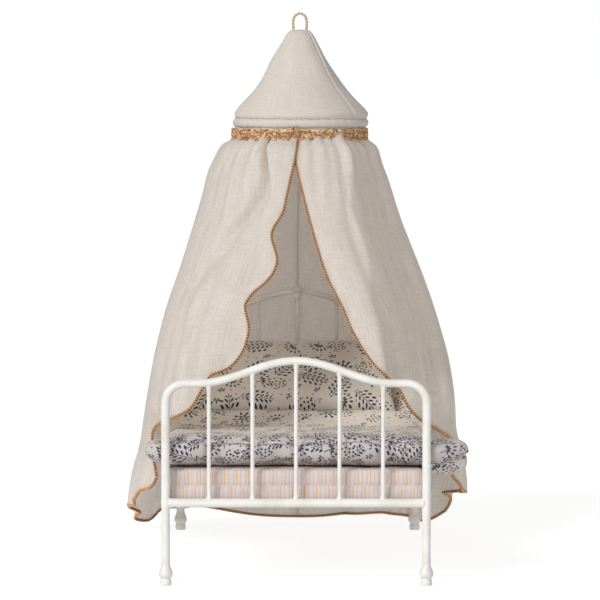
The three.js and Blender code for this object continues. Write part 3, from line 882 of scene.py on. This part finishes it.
def pillow():
    """Plump pillow leaning on the raised end of the quilt, its sides drawn in between the corners."""
    columns, rows = 84, 48
    half_x, half_y = 52.6, 27.0
    along = np.array([0, math.cos(PILLOW_TILT), math.sin(PILLOW_TILT)])
    up = np.array([0, -math.sin(PILLOW_TILT), math.cos(PILLOW_TILT)])
    params, sheet, faces, top, bottom = sewn_sheets(columns, rows)
    a, b = params.T
    x = half_x * a * (1 - 0.022 * (1 - b * b))
    y = half_y * b * (1 - 0.03 * (1 - a * a))
    body = np.clip((1 - np.abs(a) ** 9) * (1 - np.abs(b) ** 5), 0, 1) ** 0.5
    height = np.where(sheet > 0, 5.4, 4.6) * sheet * body
    crease = wander(np.stack([x, y, sheet * 9], 1), 11, 2.0)
    height += 0.55 * crease * body * np.abs(sheet)
    points = PILLOW_CENTRE + np.outer(x, [1, 0, 0]) + np.outer(y, along) + np.outer(height, up)
    plane = np.stack([x, y], 1)
    uvs = np.concatenate([plane[top.ravel()], plane[bottom.ravel()] * [-1, 1] + [200, 0]])
    obj = mesh_object("floral_pillow", points, faces, corner_uvs=uvs + [31, 12])
    inflate(obj, 1.2, 12, 1.6)
    keep_clear(obj, lambda p: quilt_top(p[:, 1]) + 0.5, HEAD_Y - 1.8)
    apply_modifier(obj, "SUBSURF", levels=1, render_levels=1)
    finish_piece(obj, FLORAL, "floral_cotton", "pillow", "pillow")


def keep_clear(obj, floor_height, back_y):
    """Lifts points that sank below what the piece lies on, and holds them in front of back_y."""
    p = points_of(obj)
    p[:, 2] = np.maximum(p[:, 2], floor_height(p))
    p[:, 1] = np.minimum(p[:, 1], back_y)
    move_points(obj, p)


# Section of the quilt along the bed, (y, height): folded under at the foot, thin in the middle and
# pushed up behind the pillow. Both lines start at the front of the roll and end at the head.
QUILT_ROWS = 118
UPPER = smooth_curve([
    (-107.6, 61.6), (-107.9, 64.1), (-105.8, 66.7), (-101.5, 67.6), (-95.5, 66.5), (-86, 64.2), (-70, 62.5),
    (-40, 61.0), (0, 59.9), (14, 60.1), (22.5, 62.3), (28, 65.0), (34, 65.6), (39.5, 63.4), (46, 62.8),
    (54, 66.8), (63, 73.3), (75, 82.6), (83, 88.2), (85, 87.4),
], QUILT_ROWS)
LOWER = smooth_curve([
    (-107.6, 61.6), (-106.7, 59.2), (-103.8, 57.0), (-98, 55.8), (-90, 54.8), (-60, 54.3), (30, 54.3),
    (42, 56.2), (52, 62.0), (63, 70.2), (75, 79.6), (82.5, 85.4), (85, 87.4),
], QUILT_ROWS)


def quilt_top(y):
    """Height of the quilt's upper side behind the roll."""
    behind = UPPER[10:]
    return np.interp(y, behind[:, 0], behind[:, 1])


def quilt():
    """Quilt rolled under at the foot, with a soft ear at each front corner."""
    columns, rows = 150, QUILT_ROWS
    params, sheet, faces, top, bottom = sewn_sheets(columns, rows)
    a, b = params.T
    row = np.rint((b + 1) / 2 * (rows - 1)).astype(int)
    seam = (UPPER + LOWER) / 2
    foot = smoothstep(-60, -100, seam[row, 0])
    left, right = 66.0 + 4.5 * foot, 66.0 + 14.5 * foot ** 1.5
    x = a * np.where(a > 0, right, left)
    blunt = 16 - 5 * foot * (a > 0)
    body = np.clip((1 - np.abs(a) ** blunt), 0, 1) ** 0.5
    sheets = np.where((sheet > 0)[:, None], UPPER[row], np.where((sheet < 0)[:, None], LOWER[row], seam[row]))
    y, z = (seam[row] + (sheets - seam[row]) * body[:, None]).T
    ear = foot * smoothstep(60, 68, x)
    rear = smoothstep(20, 60, y)
    z += rear * smoothstep(49, 57, np.abs(x)) * 4.0 * np.where(sheet > 0, 1, 0.2)
    z -= (1 - foot) * smoothstep(56, 72, np.abs(x)) ** 1.3 * 6.0 * (1 - rear)
    z -= ear * (1.2 - 1.4 * smoothstep(68, 78, x))
    z += foot * 0.6 * np.cos(x * TAU / 20 + 1.2 * np.sin(x * 0.05) + math.pi) * np.where(sheet >= 0, 1, 0.2)
    lumps = wander(np.stack([x, y, sheet * 5], 1), 17, 4.0) * (1 + 0.7 * foot)
    fine = wander(np.stack([x * 0.8, y, sheet * 3], 1), 7, 8.0) * (1 + 1.2 * ear)
    z += (0.7 * lumps + 0.35 * fine) * body * np.where(sheet >= 0, 1, 0.35)
    y += foot * 2.0 * wander(np.stack([x, z, np.zeros(len(x))], 1), 15, 13.0)
    y = press_on_bars(x, y, foot)
    y += foot * (5.5 * smoothstep(63, 82, x) + 2.0 * smoothstep(63, 71, -x))
    points = np.stack([x, y, z], 1)
    uvs = quilt_map(points[:columns * rows].reshape(rows, columns, 3), top, bottom)
    obj = mesh_object("floral_quilt", points, faces, corner_uvs=uvs)
    inflate(obj, 1.0, 10, 1.5)
    keep_clear(obj, lambda p: np.where(np.abs(p[:, 0]) < 57.5, MATTRESS_HIGH[2] - 3.0, 40), HEAD_Y - 2.4)
    hold_front(obj)
    apply_modifier(obj, "SUBSURF", levels=1, render_levels=1)
    finish_piece(obj, FLORAL, "floral_cotton", None, "quilt_head", "quilt_foot")
    quilt_ridge(obj)
    quilt_tail()
    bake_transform(obj)


def quilt_tail():
    """Lower layer of the folded foot end, drooping under the roll past the right side of the bed."""
    columns, rows = 56, 40
    turns = np.linspace(0, TAU, columns, endpoint=False)
    turn, along = np.meshgrid(turns, np.linspace(0.02, math.pi - 0.02, rows))
    thick = np.sin(along) ** 0.6
    x = 68.6 - 10.6 * np.cos(along)
    y = -94.0 + 7.5 * thick * np.cos(turn)
    z = 55.0 + 5.6 * thick * np.sin(turn) + 0.8 * smoothstep(68, 79, x)
    points = np.stack([x, y, z], -1).reshape(-1, 3)
    lumps = wander(points, 6, 21.0).reshape(x.shape)
    points[:, 2] += 0.7 * lumps.ravel()
    points[:, 1] += 0.9 * wander(points, 9, 5.0)
    uvs = np.stack([x + 22, turn * 6.5 + 47], -1).reshape(-1, 2)
    faces = grid_faces(columns, rows, wrap=True) + end_caps(columns, rows)
    obj = mesh_object("floral_quilt_tail", points, faces, uvs)
    finish_piece(obj, FLORAL, "floral_cotton", "quilt_foot")


def quilt_ridge(quilt_obj):
    """Puckered seam that stands along the top front of the roll."""
    tree = BVHTree.FromPolygons([v.co for v in quilt_obj.data.vertices],
                                [tuple(f.vertices) for f in quilt_obj.data.polygons])
    path = []
    for x in np.arange(-66.5, 71.5, 0.5):
        start = Vector((x, -120, 77 + 0.5 * math.sin(x * 0.11))) * MM
        spot, normal, _, _ = tree.ray_cast(start, Vector((0, 0.78, -0.626)))
        if spot is not None:
            dip = sum(hump(x - bar_x - 2.0, 1.2) for bar_x in SPINDLE_X)
            lift = 0.35 + 0.4 * math.sin(x * 1.1 + 2 * math.sin(x * 0.27)) - 1.1 * dip
            path.append(np.array(spot + normal * lift * MM) / MM)
    path = eased_path(np.array(path), 2)
    samples = 420
    path = evenly(path, samples)
    from_end = np.minimum(np.arange(samples), np.arange(samples)[::-1])
    radii = (0.78 + 0.2 * wander(path, 2.6, 3.0)) * (0.15 + 0.85 * smoothstep(0, 25, from_end))
    tube, faces, uvs = sweep(path, radii, 10)
    ridge = mesh_object("quilt_seam_ridge", tube, faces, uvs * [1, 0.7] + [7, 90])
    finish_piece(ridge, FLORAL, "floral_cotton", "quilt_foot")


def press_on_bars(x, y, foot):
    """The roll bears on the footboard: it bulges a little between the bars and is dented by each."""
    for bar_x in SPINDLE_X + [-POST_X, POST_X]:
        dent = 2.0 if abs(bar_x) < POST_X else 2.8
        y = y + foot * dent * hump(x - bar_x - 0.5, 2.4) * smoothstep(-100, -106, y)
    return y


def quilt_map(upper, top, bottom):
    """Cloth map from lengths along the quilt: the lower sheet carries on round the front of the roll."""
    run = np.linalg.norm(np.diff(upper, axis=0), axis=2).mean(axis=1)
    length = np.concatenate([[0], np.cumsum(run)])
    along = np.repeat(length[:, None], upper.shape[1], 1)
    plane = np.stack([upper[:, :, 0], along], 2).reshape(-1, 2)
    return np.concatenate([plane[top.ravel()], plane[bottom.ravel()] * [1, -1]])


def hold_front(obj):
    """Keeps the roll behind the bars and posts of the footboard."""
    p = points_of(obj)
    least = np.full(len(p), FOOT_Y - 0.8)
    for bar_x in SPINDLE_X:
        least = np.maximum(least, FOOT_Y + 1.25 - 1.2 * smoothstep(1.2, 4.5, np.abs(p[:, 0] - bar_x)) * 1.7)
    for bar_x in (-POST_X, POST_X):
        least = np.maximum(least, FOOT_Y + 2.3 - smoothstep(2.2, 6.0, np.abs(p[:, 0] - bar_x)) * 2.8)
    p[:, 1] = np.maximum(p[:, 1], least)
    move_points(obj, p)


# ---- canopy -------------------------------------------------------------------------------
# The tables below are -1 for the left half of the curtain and 1 for the right half, in millimetres.
# The crown and the hoop hang a little to the right of the bed's middle.
LEAN = 1.3
RING_X = 1.2
LINEN_THICK = 0.45
CURTAIN_TOP = 207.8
UNDER_HOOP = [(208, 31.2), (205.5, 32.2), (201.5, 33.2)]
# Distance from the hoop's middle to the side of the curtain, by height.
WIDTH = {
    -1: spline(UNDER_HOOP + [
        (198, 38.6), (191.6, 42.2), (184.6, 45.2), (174, 47.5), (162, 50.6), (139, 57.6), (117, 65.2),
        (105, 68.4), (92, 71.4), (71, 75), (58, 76.8), (43, 78.4), (34, 80.6), (24, 82.4), (2, 84),
    ]),
    1: spline(UNDER_HOOP + [
        (197, 38.2), (189, 41), (179.5, 44.8), (162, 51), (146, 57.4), (126, 65), (107, 71), (90, 75.4),
        (70, 77.8), (58, 78.4), (48, 80.2), (38, 81.6), (30, 82.4), (20, 81), (2, 78),
    ]),
}
# Distance from the hoop's middle to the front of the curtain, by height, and the most it reaches to the back.
FRONT_DEPTH = spline(UNDER_HOOP + [(198, 38.4), (190, 42), (158, 54), (115, 71), (75, 84), (3, 88)])
BACK_DEPTH = 61.5
# Distance of each flap's front edge from the middle of the bed, by height.
EDGE = {
    -1: spline([
        (206, 0.2), (192, 2.4), (176, 5.4), (168, 6.8), (156, 12.4), (144, 9.6), (138, 11.5), (132.8, 16),
        (127.8, 22), (122, 25.3), (112, 23.3), (103.6, 25.1), (93.4, 32.4), (89.3, 41.4), (83, 45.2),
        (74.5, 50.3), (70.5, 55.5), (66.5, 63.5), (63, 69), (58, 71.2), (50, 70.5), (36, 68),
    ]),
    1: spline([
        (206, -4.5), (190, -1.6), (178.7, 1.5), (158, 7.7), (137, 14.5), (121, 22.6), (111, 26.8),
        (95.6, 36.6), (88, 44.4), (82.8, 49.4), (74, 54), (69.5, 57.5), (66, 62), (62.5, 67.5), (57, 74),
        (51, 79), (46.5, 80.2), (43, 79), (40, 76.5), (36, 76),
    ]),
}
# Height of the hem, by share of the way from the front corner (0) to the middle of the back (1).
HEM = {
    -1: spline([
        (0, 38.5), (0.07, 32.5), (0.14, 30), (0.22, 23.5), (0.28, 18.5), (0.35, 12), (0.42, 8), (0.5, 4.5),
        (0.58, 3.5), (0.66, 8.8), (0.88, 9.2), (0.96, 6.5), (1, 4),
    ]),
    1: spline([
        (0, 39), (0.05, 34.5), (0.115, 28.5), (0.16, 27), (0.2, 25.5), (0.25, 22), (0.3, 20.5), (0.34, 17),
        (0.4, 10.5), (0.45, 7), (0.5, 4), (0.6, 2.4), (0.72, 3), (0.85, 6.6), (0.95, 6.4), (1, 4),
    ]),
}
# Outward reach of the pleats at the hem: (share, width of pleat, millimetres out).
PLEATS = {
    -1: [(0.27, 0.05, 1.6), (0.35, 0.03, -5.0), (0.44, 0.04, 2.0), (0.6, 0.05, -3.0), (0.78, 0.06, 3.0)],
    1: [(0.115, 0.03, 3.4), (0.2, 0.022, -2.0), (0.3, 0.03, -4.5), (0.42, 0.05, 0.5), (0.6, 0.05, -2.0),
        (0.8, 0.06, 3.0)],
}


def settle(z):
    """How far the section has gone from a circle at the hoop to a rounded square round the bed."""
    return np.clip((160 - z) / 48, 0, 1)


def curtain_base(side, angle, z):
    """Point of the smooth curtain, angle in radians from the front, without folds."""
    front = angle < math.pi / 2
    power = 2 / (2 + settle(z) * np.where(front, 1.0, 2.9))
    width = WIDTH[side](z)
    eased = -6 * np.log(np.exp(-width / 6) + np.exp(-BACK_DEPTH / 6))
    depth = np.where(front, FRONT_DEPTH(z), eased)
    across = width * np.sin(angle) ** power
    x = LEAN * smoothstep(150, 200, z) + side * across
    y = depth * np.abs(np.cos(angle)) ** power
    if side > 0:
        y = np.where(front, turned_corner(across, y, width, depth, power, z), y)
    return np.stack([x, CANOPY_Y + np.where(front, -y, y), z], -1)


# Distance from the middle of the bed to the corner where the right half turns towards the back, by height.
CORNER = spline([
    (205, 22), (198, 23.4), (190, 25.4), (171, 25.2), (158, 29.5), (143, 34.4), (126, 36.5), (112, 39.6),
    (102, 41.5), (80, 44),
])


def turned_corner(across, y, width, depth, power, z):
    """Depth of the right half: its front panel stands forward up to the corner, and the rest hangs in a
    straight slope to the side."""
    forward = 4.5
    corner = CORNER(z)
    at_corner = depth * np.clip(1 - (corner / width) ** (2 / power), 0, 1) ** (power / 2) + forward
    panel = y + forward * np.clip(across / corner, 0, 1) ** 1.5
    beyond = np.clip((across - corner) / (width - corner), 0, 1)
    shaped = np.where(across < corner, panel, at_corner * (1 - beyond))
    amount = smoothstep(207, 197, z) * smoothstep(76, 98, z)
    return y + (shaped - y) * amount


def edge_angle(side, z):
    """Angle from the front at which a flap's edge hangs, by height."""
    power = (2 + settle(z)) / 2
    x = EDGE[side](z)
    ratio = np.clip(np.abs(x) / WIDTH[side](z), 0, 0.9995)
    return np.sign(x) * np.arcsin(ratio ** power)


def length_round():
    """Length of cloth from the middle of the front to each angle, for the curtain at pillow height."""
    angles = np.linspace(0, math.pi, 1500)
    return angles, lengths_along(curtain_base(-1, angles, np.full(1500, 80.0)))


def even_angles(first, columns):
    """Angles from first to the back that put the columns of each row at even distances of cloth."""
    angles, length = length_round()
    start = np.interp(np.abs(first), angles, length) * np.sign(first)
    wanted = start + (length[-1] - start) * columns
    return np.interp(np.abs(wanted), length, angles) * np.sign(wanted)


def fold_height(side, share, z, rng):
    """How far the cloth stands out of the smooth shape, in millimetres."""
    down = CURTAIN_TOP - z
    fall = np.clip(down / 200, 0, 1)
    gather = np.exp(-down / 24) * smoothstep(-1, 6, down)
    total = np.zeros_like(share)
    for k in range(7, 24):
        phase, size = rng.uniform(0, TAU), rng.uniform(0.5, 1)
        total += gather * 0.42 * size * np.cos(share * math.pi * k * 1.6 + phase)
    for k, reach in ((3.1, 1.3), (5.3, 1.2), (7.7, 1.1), (10.9, 0.7), (15.1, 0.45)):
        phase, drift = rng.uniform(0, TAU), rng.uniform(-0.8, 0.8)
        wave = np.cos(share * TAU * k + phase + drift * fall)
        sharp = wave - 0.35 * wave ** 2
        total += sharp * reach * (0.35 * np.exp(-down / 60) + smoothstep(0.02, 0.8, fall))
    return total


# Share of the way round at which the left half's valley and the right half's shoulder lie, by height.
VALLEY = spline([
    (207, 0.15), (200, 0.145), (190, 0.112), (178, 0.088), (165, 0.11), (150, 0.17), (140, 0.225),
    (120, 0.26),
])
SHOULDER = spline([(205, 0.2), (172, 0.17), (146, 0.155), (108, 0.08), (80, 0.06)])


def long_fold(side, share, z):
    """The one long fold of each half: a valley on the left, a front panel that stands proud on the right."""
    if side < 0:
        wide = 0.011 + 0.032 * smoothstep(196, 150, z)
        depth = 5.6 * smoothstep(118, 160, z) * smoothstep(206.8, 201, z)
        return -depth * hump(share - VALLEY(z), wide)
    reach = 1.6 * smoothstep(207, 190, z) * smoothstep(70, 110, z)
    return reach * (1 - smoothstep(0, 0.07, share - SHOULDER(z))) * smoothstep(0, 0.03, share)


def curtain_grid(side, columns, rows):
    """Angle, share of the way round and height of each point, and the height of the hem below it."""
    hem_angle = edge_angle(side, HEM[side](0.0))
    column, level = np.meshgrid(np.linspace(0, 1, columns), np.linspace(0, 1, rows))
    bottom = HEM[side]((even_angles(hem_angle, column) - hem_angle) / (math.pi - hem_angle))
    drop = 0.55 * level + 0.45 * level ** 1.25
    z = CURTAIN_TOP + (bottom - CURTAIN_TOP) * drop
    first = edge_angle(side, z)
    angle = even_angles(first, column)
    return angle, (angle - first) / (math.pi - first), z, bottom


def curtain_rise(side, angle, share, z, bottom):
    """How far each point stands out of the smooth curtain: folds, pleats at the hem, and the lap in front."""
    rng = random.Random(11 if side < 0 else 23)
    hem_angle = edge_angle(side, HEM[side](0.0))
    turn = np.abs(angle)
    rise = fold_height(side, turn / math.pi, z, rng)
    rise *= (0.25 + 0.75 * smoothstep(0, 0.05, share)) * smoothstep(1, 0.95, share)
    rise = rise + long_fold(side, share, z)
    at_side = hump(turn - math.pi / 2, 0.3) * smoothstep(36, 60, z)
    rise = rise * (1 - 0.8 * at_side) * (1 + 1.3 * smoothstep(2.1, 2.5, turn))
    near_post = hump(turn - 2.05, 0.32) * smoothstep(140, 122, z)
    rise = np.maximum(rise, 0) + np.minimum(rise, 0) * (1 - near_post)
    near_hem = np.exp(-(z - bottom) / 26)
    hem_share = (turn - hem_angle) / (math.pi - hem_angle)
    for at, wide, reach in PLEATS[side]:
        rise = rise + reach * near_hem * hump(hem_share - at, wide)
    lap = 0.9 if side < 0 else -0.5
    rise = rise + lap * hump(share, 0.14) * smoothstep(150, 190, z)
    return rise * (0.3 + 0.7 * smoothstep(CURTAIN_TOP - 2.5, CURTAIN_TOP - 9, z))


def curtain_surface(side, columns, rows):
    """Grid of points of one half of the curtain, from its front edge to the middle of the back."""
    angle, share, z, bottom = curtain_grid(side, columns, rows)
    points = curtain_base(side, np.abs(angle), z)
    middle_x = LEAN * smoothstep(150, 200, z)
    points[..., 0] = np.where(angle < 0, 2 * middle_x - points[..., 0], points[..., 0])
    out = points[..., :2] - np.array([0, CANOPY_Y])
    out /= np.linalg.norm(out, axis=-1)[..., None]
    points[..., :2] += out * curtain_rise(side, angle, share, z, bottom)[..., None]
    return points, angle, z


def curtain(side):
    """One half of the curtain and its edging; its front part follows the flap that is drawn aside."""
    name = "left" if side < 0 else "right"
    columns, rows = 190, 140
    points, angle, z = curtain_surface(side, columns, rows)
    across = np.interp(np.abs(angle), *length_round()) * np.sign(angle)
    uvs = np.stack([across + (400 if side > 0 else 0), z], -1).reshape(-1, 2)
    faces = grid_faces(columns, rows)
    if side < 0:
        faces = [f[::-1] for f in faces]
    obj = mesh_object(f"curtain_{name}", points.reshape(-1, 3), faces, uvs)
    apply_modifier(obj, "SOLIDIFY", thickness=LINEN_THICK * MM, offset=-1.0)
    finish_piece(obj, LINEN, "linen_gauze", None, f"{name}_flap", "curtain_back")
    start = Vector((0, (CANOPY_Y + 22) * MM, 0.1))
    end = Vector((0, (CANOPY_Y - 46) * MM, 0.1))
    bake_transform(obj)
    edging(name, points)
    if side < 0:
        tube, faces, uvs = sweep(evenly(points[:, -1], 160), 0.38, 10)
        seam = mesh_object("canopy_back_seam", tube, faces, uvs * [1, 0.5])
        finish_piece(seam, LINEN, "linen_gauze", "canopy")


def edging(name, points):
    """Overcast thread down the front edge and along the hem to the middle of the back."""
    path = np.concatenate([points[2:, 0], points[-1, 1:]])
    length = np.linalg.norm(np.diff(path, axis=0), axis=1).sum()
    path = eased_path(evenly(path, int(length / STITCH * 6)), 6)

    def stitches(distance, turns):
        return 1 + 0.26 * np.cos(TAU * distance / STITCH + 0.9 * np.sin(turns))

    tube, faces, uvs = sweep(path, 0.68, 10, ripple=stitches)
    obj = mesh_object(f"edging_{name}", tube, faces, uvs)
    finish_piece(obj, EDGING, "gold_thread", None, f"{name}_flap_edging", "hem_edging")
    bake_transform(obj)


CROWN_TOP, CROWN_BOTTOM = 255.5, 210.6
CROWN_PROFILE = spline([
    (CROWN_TOP, 4.6), (253.8, 6.3), (248, 9.6), (240, 13.9), (233, 17.9), (226.8, 22.3), (220.6, 27.6),
    (216, 31.4), (213.6, 32.7), (212.2, 32.2), (CROWN_BOTTOM, 30.6),
])
CROWN_SEAMS = [math.radians(a) for a in (52, 172, -68)]


def crown():
    """Linen cone of three gores, softly dented, open at the bottom."""
    columns, rows = 180, 70
    heights = CROWN_TOP - (CROWN_TOP - CROWN_BOTTOM) * np.linspace(0, 1, rows) ** 0.9
    turns = np.linspace(0, TAU, columns, endpoint=False)
    turn, z = np.meshgrid(turns, heights)
    radius = CROWN_PROFILE(z)
    bearing = np.arctan2(np.cos(turn), -np.sin(turn))
    flat = np.stack([np.cos(turn) * 20, np.sin(turn) * 20, z], -1).reshape(-1, 3)
    lumps = wander(flat, 13, 5.0).reshape(turn.shape)
    radius = radius + lumps * 1.1 * smoothstep(255, 240, z) * smoothstep(211, 219, z)
    for seam in CROWN_SEAMS:
        away = (bearing - seam + math.pi) % TAU - math.pi
        arc = away * radius
        radius = radius - 0.55 * hump(arc, 0.4) + 0.35 * hump(arc - 1.3, 1.0)
    radius = radius - 0.35 * hump(z - 213.2, 0.5)
    bulge = 1.5 * smoothstep(240, 216, z) * np.clip(np.cos(turn), 0, 1)
    x = LEAN + (radius + bulge) * np.cos(turn)
    y = CANOPY_Y + radius * np.sin(turn)
    points = np.stack([x, y, z], -1).reshape(-1, 3)
    faces = grid_faces(columns, rows, wrap=True)
    tip = len(points)
    points = np.concatenate([points, [[LEAN, CANOPY_Y, 255.8]]])
    faces += [(i, tip, (i + 1) % columns) for i in range(columns)]
    uvs = np.stack([turn * 26, z], -1).reshape(-1, 2)
    uvs = np.concatenate([uvs, [[0, 256]]])
    obj = mesh_object("crown_cone", points, [f[::-1] for f in faces], uvs)
    apply_modifier(obj, "SOLIDIFY", thickness=LINEN_THICK * MM, offset=-1.0)
    finish_piece(obj, LINEN_DOUBLE, "linen_gauze", "canopy", "canopy_crown")


def ring_path(radius, z, samples):
    """Level circle under the crown, and the angle of each of its points."""
    turns = np.linspace(0, TAU, samples, endpoint=False)
    x = RING_X + radius * np.cos(turns)
    return np.stack([x, CANOPY_Y + radius * np.sin(turns), np.full(samples, z)], 1), turns


def hoop_channel():
    """Puffy sewn tube round the wire hoop, slightly puckered, and the running stitch above it."""
    path, turns = ring_path(31.0, HOOP_Z + 0.3, 300)
    path[:, 0] += 0.9 * np.clip(np.cos(turns), 0, 1)
    swell = 2.35 + 0.2 * wander(path, 7, 1.0) + 0.1 * np.sin(turns * 41)
    tube, faces, uvs = sweep(path, swell, 24, closed=True)
    uvs[:, 1] *= 2.2
    obj = mesh_object("channel_tube", tube, faces, uvs)
    finish_piece(obj, LINEN_DOUBLE, "linen_gauze", "canopy", "hoop_channel")
    parts = []
    count = 92
    for i in range(count):
        bend = np.linspace(TAU * i / count, TAU * (i + 0.55) / count, 7)
        radius = 32.25 + 0.25 * np.sin(np.linspace(0, math.pi, 7))
        z = np.full(7, 212.4 + 0.25 * math.sin(i * 1.3))
        stitch = np.stack([LEAN + radius * np.cos(bend), CANOPY_Y + radius * np.sin(bend), z], 1)
        parts.append(sweep(stitch, 0.17, 6)[:2])
    points, faces = join_parts(parts)
    obj = mesh_object("channel_stitches", points, faces, np.zeros((len(points), 2)))
    finish_piece(obj, CORD, "gold_thread", "canopy")


def thread_ring(radius, height, thickness, waves, lift, bulge, pitch=1.1):
    """Closed thread round the band that rises and falls waves times."""
    path, turns = ring_path(radius, height, waves * 10)
    path[:, 2] += lift * np.sin(turns * waves)
    out = path[:, :2] - np.array([RING_X, CANOPY_Y])
    out /= np.linalg.norm(out, axis=1)[:, None]
    path[:, :2] += out * (bulge * np.cos(turns * waves))[:, None]

    def twist(distance, at):
        return 1 + 0.14 * np.cos(TAU * distance / pitch + at)

    return sweep(path, thickness, 7, closed=True, ripple=twist)[:2]


def loop_ring(radius, height, thickness, loops, size, phase=0.0):
    """Closed thread that runs round the band in a row of overlapping loops."""
    t = np.linspace(0, TAU, loops * 14, endpoint=False)
    swing = loops * t + phase + 1.1 * np.sin(11 * t) + 0.9 * np.sin(23 * t + phase)
    wide = size * (1 + 0.25 * np.sin(29 * t + 2) + 0.2 * np.sin(13 * t))
    turn = t + wide / radius * np.sin(swing)
    reach = radius + 0.28 * np.sin(2 * swing)
    rise = size * np.cos(swing) * (1 + 0.25 * np.sin(19 * t) + 0.15 * np.sin(41 * t + 1))
    path = np.stack([RING_X + reach * np.cos(turn), CANOPY_Y + reach * np.sin(turn), height + rise], 1)
    return sweep(path, thickness, 6, closed=True)[:2]


def crochet_band():
    """Openwork band: two twisted cords along the top, three rows of loops, a thread through them and a
    scalloped lower edge."""
    low, high = box_mm("crochet_band")
    bottom, top = low[2], high[2]
    radius = 33.5
    parts = [
        thread_ring(radius, top - 0.1, 0.46, 75, 0.16, 0.2, pitch=1.3),
        thread_ring(radius + 0.15, top - 0.8, 0.4, 75, 0.16, -0.2, pitch=1.3),
        loop_ring(radius + 0.25, top - 1.7, 0.26, 98, 0.72),
        loop_ring(radius + 0.35, (top + bottom) / 2, 0.26, 83, 0.95, 1.0),
        loop_ring(radius + 0.2, bottom + 1.3, 0.26, 91, 0.8, 2.3),
        thread_ring(radius + 0.1, (top + bottom) / 2 - 0.4, 0.26, 43, 0.5, 0.2),
        thread_ring(radius + 0.25, bottom + 0.4, 0.32, 80, 0.45, 0.3),
    ]
    points, faces = join_parts(parts)
    uvs = np.stack([np.arctan2(points[:, 1] - CANOPY_Y, points[:, 0]) * radius, points[:, 2]], 1)
    obj = mesh_object("band_lace", points, faces, uvs)
    finish_piece(obj, CROCHET, "gold_thread", "canopy", "crochet_band")
    band_knot(radius, top)


def band_knot(radius, top):
    """Small knot of four tight loops where the band is tied in front."""
    parts = []
    for dx, dz, size in ((-0.9, 0.9, 0.75), (0.7, 1.1, 0.8), (0.0, -0.2, 0.9), (0.2, -2.4, 0.8)):
        ball = [(0.001, -size), (size * 0.8, -size * 0.6), (size, 0), (size * 0.8, size * 0.6), (0.001, size)]
        centre = (-1.2 + dx, CANOPY_Y - radius - 0.5, top + dz)
        parts.append(turned(smooth_curve(ball, 14), centre, 16))
    points, faces = join_parts(parts)
    knot = mesh_object("band_knot", points, faces, points[:, :2])
    finish_piece(knot, CROCHET, "gold_thread", "canopy")


def hanging_loop():
    """Twisted cord loop standing on the crown, its ends sewn into the tip."""
    low, high = box_mm("hanging_loop")
    half, base, top = (high[0] - low[0]) / 2 - 0.45, low[2] - 0.8, high[2] + 0.2
    shoulder, bend = top - half * 1.1, top - half * 0.35
    knots = [
        (-half * 0.92, base), (-half, base + 3), (-half, shoulder), (-half * 0.72, bend), (0, top),
        (half * 0.72, bend), (half, shoulder), (half, base + 3), (half * 0.96, base),
    ]
    path = smooth_curve([(LEAN + x, CANOPY_Y, z) for x, z in knots], 200)

    def strands(distance, turns):
        return 1 + 0.06 * np.abs(np.cos(turns + TAU * distance / 3.2))

    tube, faces, uvs = sweep(path, 0.6, 16, ripple=strands)
    obj = mesh_object("cord_loop", tube, faces, uvs)
    finish_piece(obj, CORD, "gold_thread", "hanging_loop", "hanging_loop")


def hoop_wire():
    """Bare steel for the hoop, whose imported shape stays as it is."""
    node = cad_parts["canopy_hoop"]
    look = Look("hoop_wire", srgb(150, 150, 148), 0.35, Metallic=0.9)
    look.rough(look.cloud(look.place(), 300.0, 3.0) * 0.3 + 0.25)
    node.data.materials.clear()
    node.data.materials.append(look.material)


# ---- stage --------------------------------------------------------------------------------
def lamp(name, towards, spread, power):
    """Soft distant light; spread is the angle, in degrees, over which it seems to come."""
    data = bpy.data.lights.new(name, "SUN")
    data.angle = math.radians(spread)
    data.energy = power
    obj = bpy.data.objects.new(name, data)
    obj.rotation_mode = "QUATERNION"
    obj.rotation_quaternion = Vector(towards).to_track_quat("-Z", "Y")
    bpy.context.scene.collection.objects.link(obj)


def studio_sky():
    """Pale even light all round, seen by the camera as plain white."""
    world = bpy.data.worlds.new("studio")
    world.use_nodes = True
    tree = world.node_tree
    sky = tree.nodes["Background"]
    feed(tree, sky.inputs["Color"], srgb(255, 254, 252))
    feed(tree, sky.inputs["Strength"], 0.36)
    seen = tree.nodes.new("ShaderNodeBackground")
    feed(tree, seen.inputs["Color"], (1, 1, 1, 1))
    path = tree.nodes.new("ShaderNodeLightPath")
    mix = tree.nodes.new("ShaderNodeMixShader")
    feed(tree, mix.inputs["Fac"], path.outputs["Is Camera Ray"])
    feed(tree, mix.inputs[1], sky.outputs[0])
    feed(tree, mix.inputs[2], seen.outputs[0])
    feed(tree, tree.nodes["World Output"].inputs["Surface"], mix.outputs[0])
    bpy.context.scene.world = world


def stage():
    bpy.ops.mesh.primitive_plane_add(size=40, location=(0, 0, 0))
    floor = bpy.context.object
    floor.name = "floor"
    floor.data.materials.append(floor_look())
    studio_sky()
    lamp("key", (0.74, 0.86, -0.7), 26, 2.24)
    lamp("front", (-0.32, 1.0, -0.12), 40, 0.86)


def camera():
    """Long lens at the height of the crown, 1.74 m in front of the footboard, tipped down by 3.92 degrees."""
    data = bpy.data.cameras.new("view")
    data.sensor_width = 36.0
    data.lens = 228.36
    data.clip_start = 0.1
    data.clip_end = 20
    obj = bpy.data.objects.new("view", data)
    obj.location = (0.007, FOOT_Y * MM - 1.74, 0.251)
    obj.rotation_euler = (math.radians(90 - 3.92), 0, math.radians(0.17))
    bpy.context.scene.collection.objects.link(obj)
    bpy.context.scene.camera = obj


bed_frame()
mattress()
quilt()
pillow()
curtain(-1)
curtain(1)
crown()
hoop_channel()
crochet_band()
hanging_loop()
hoop_wire()
stage()
camera()
bpy.context.scene.view_settings.view_transform = "Standard"
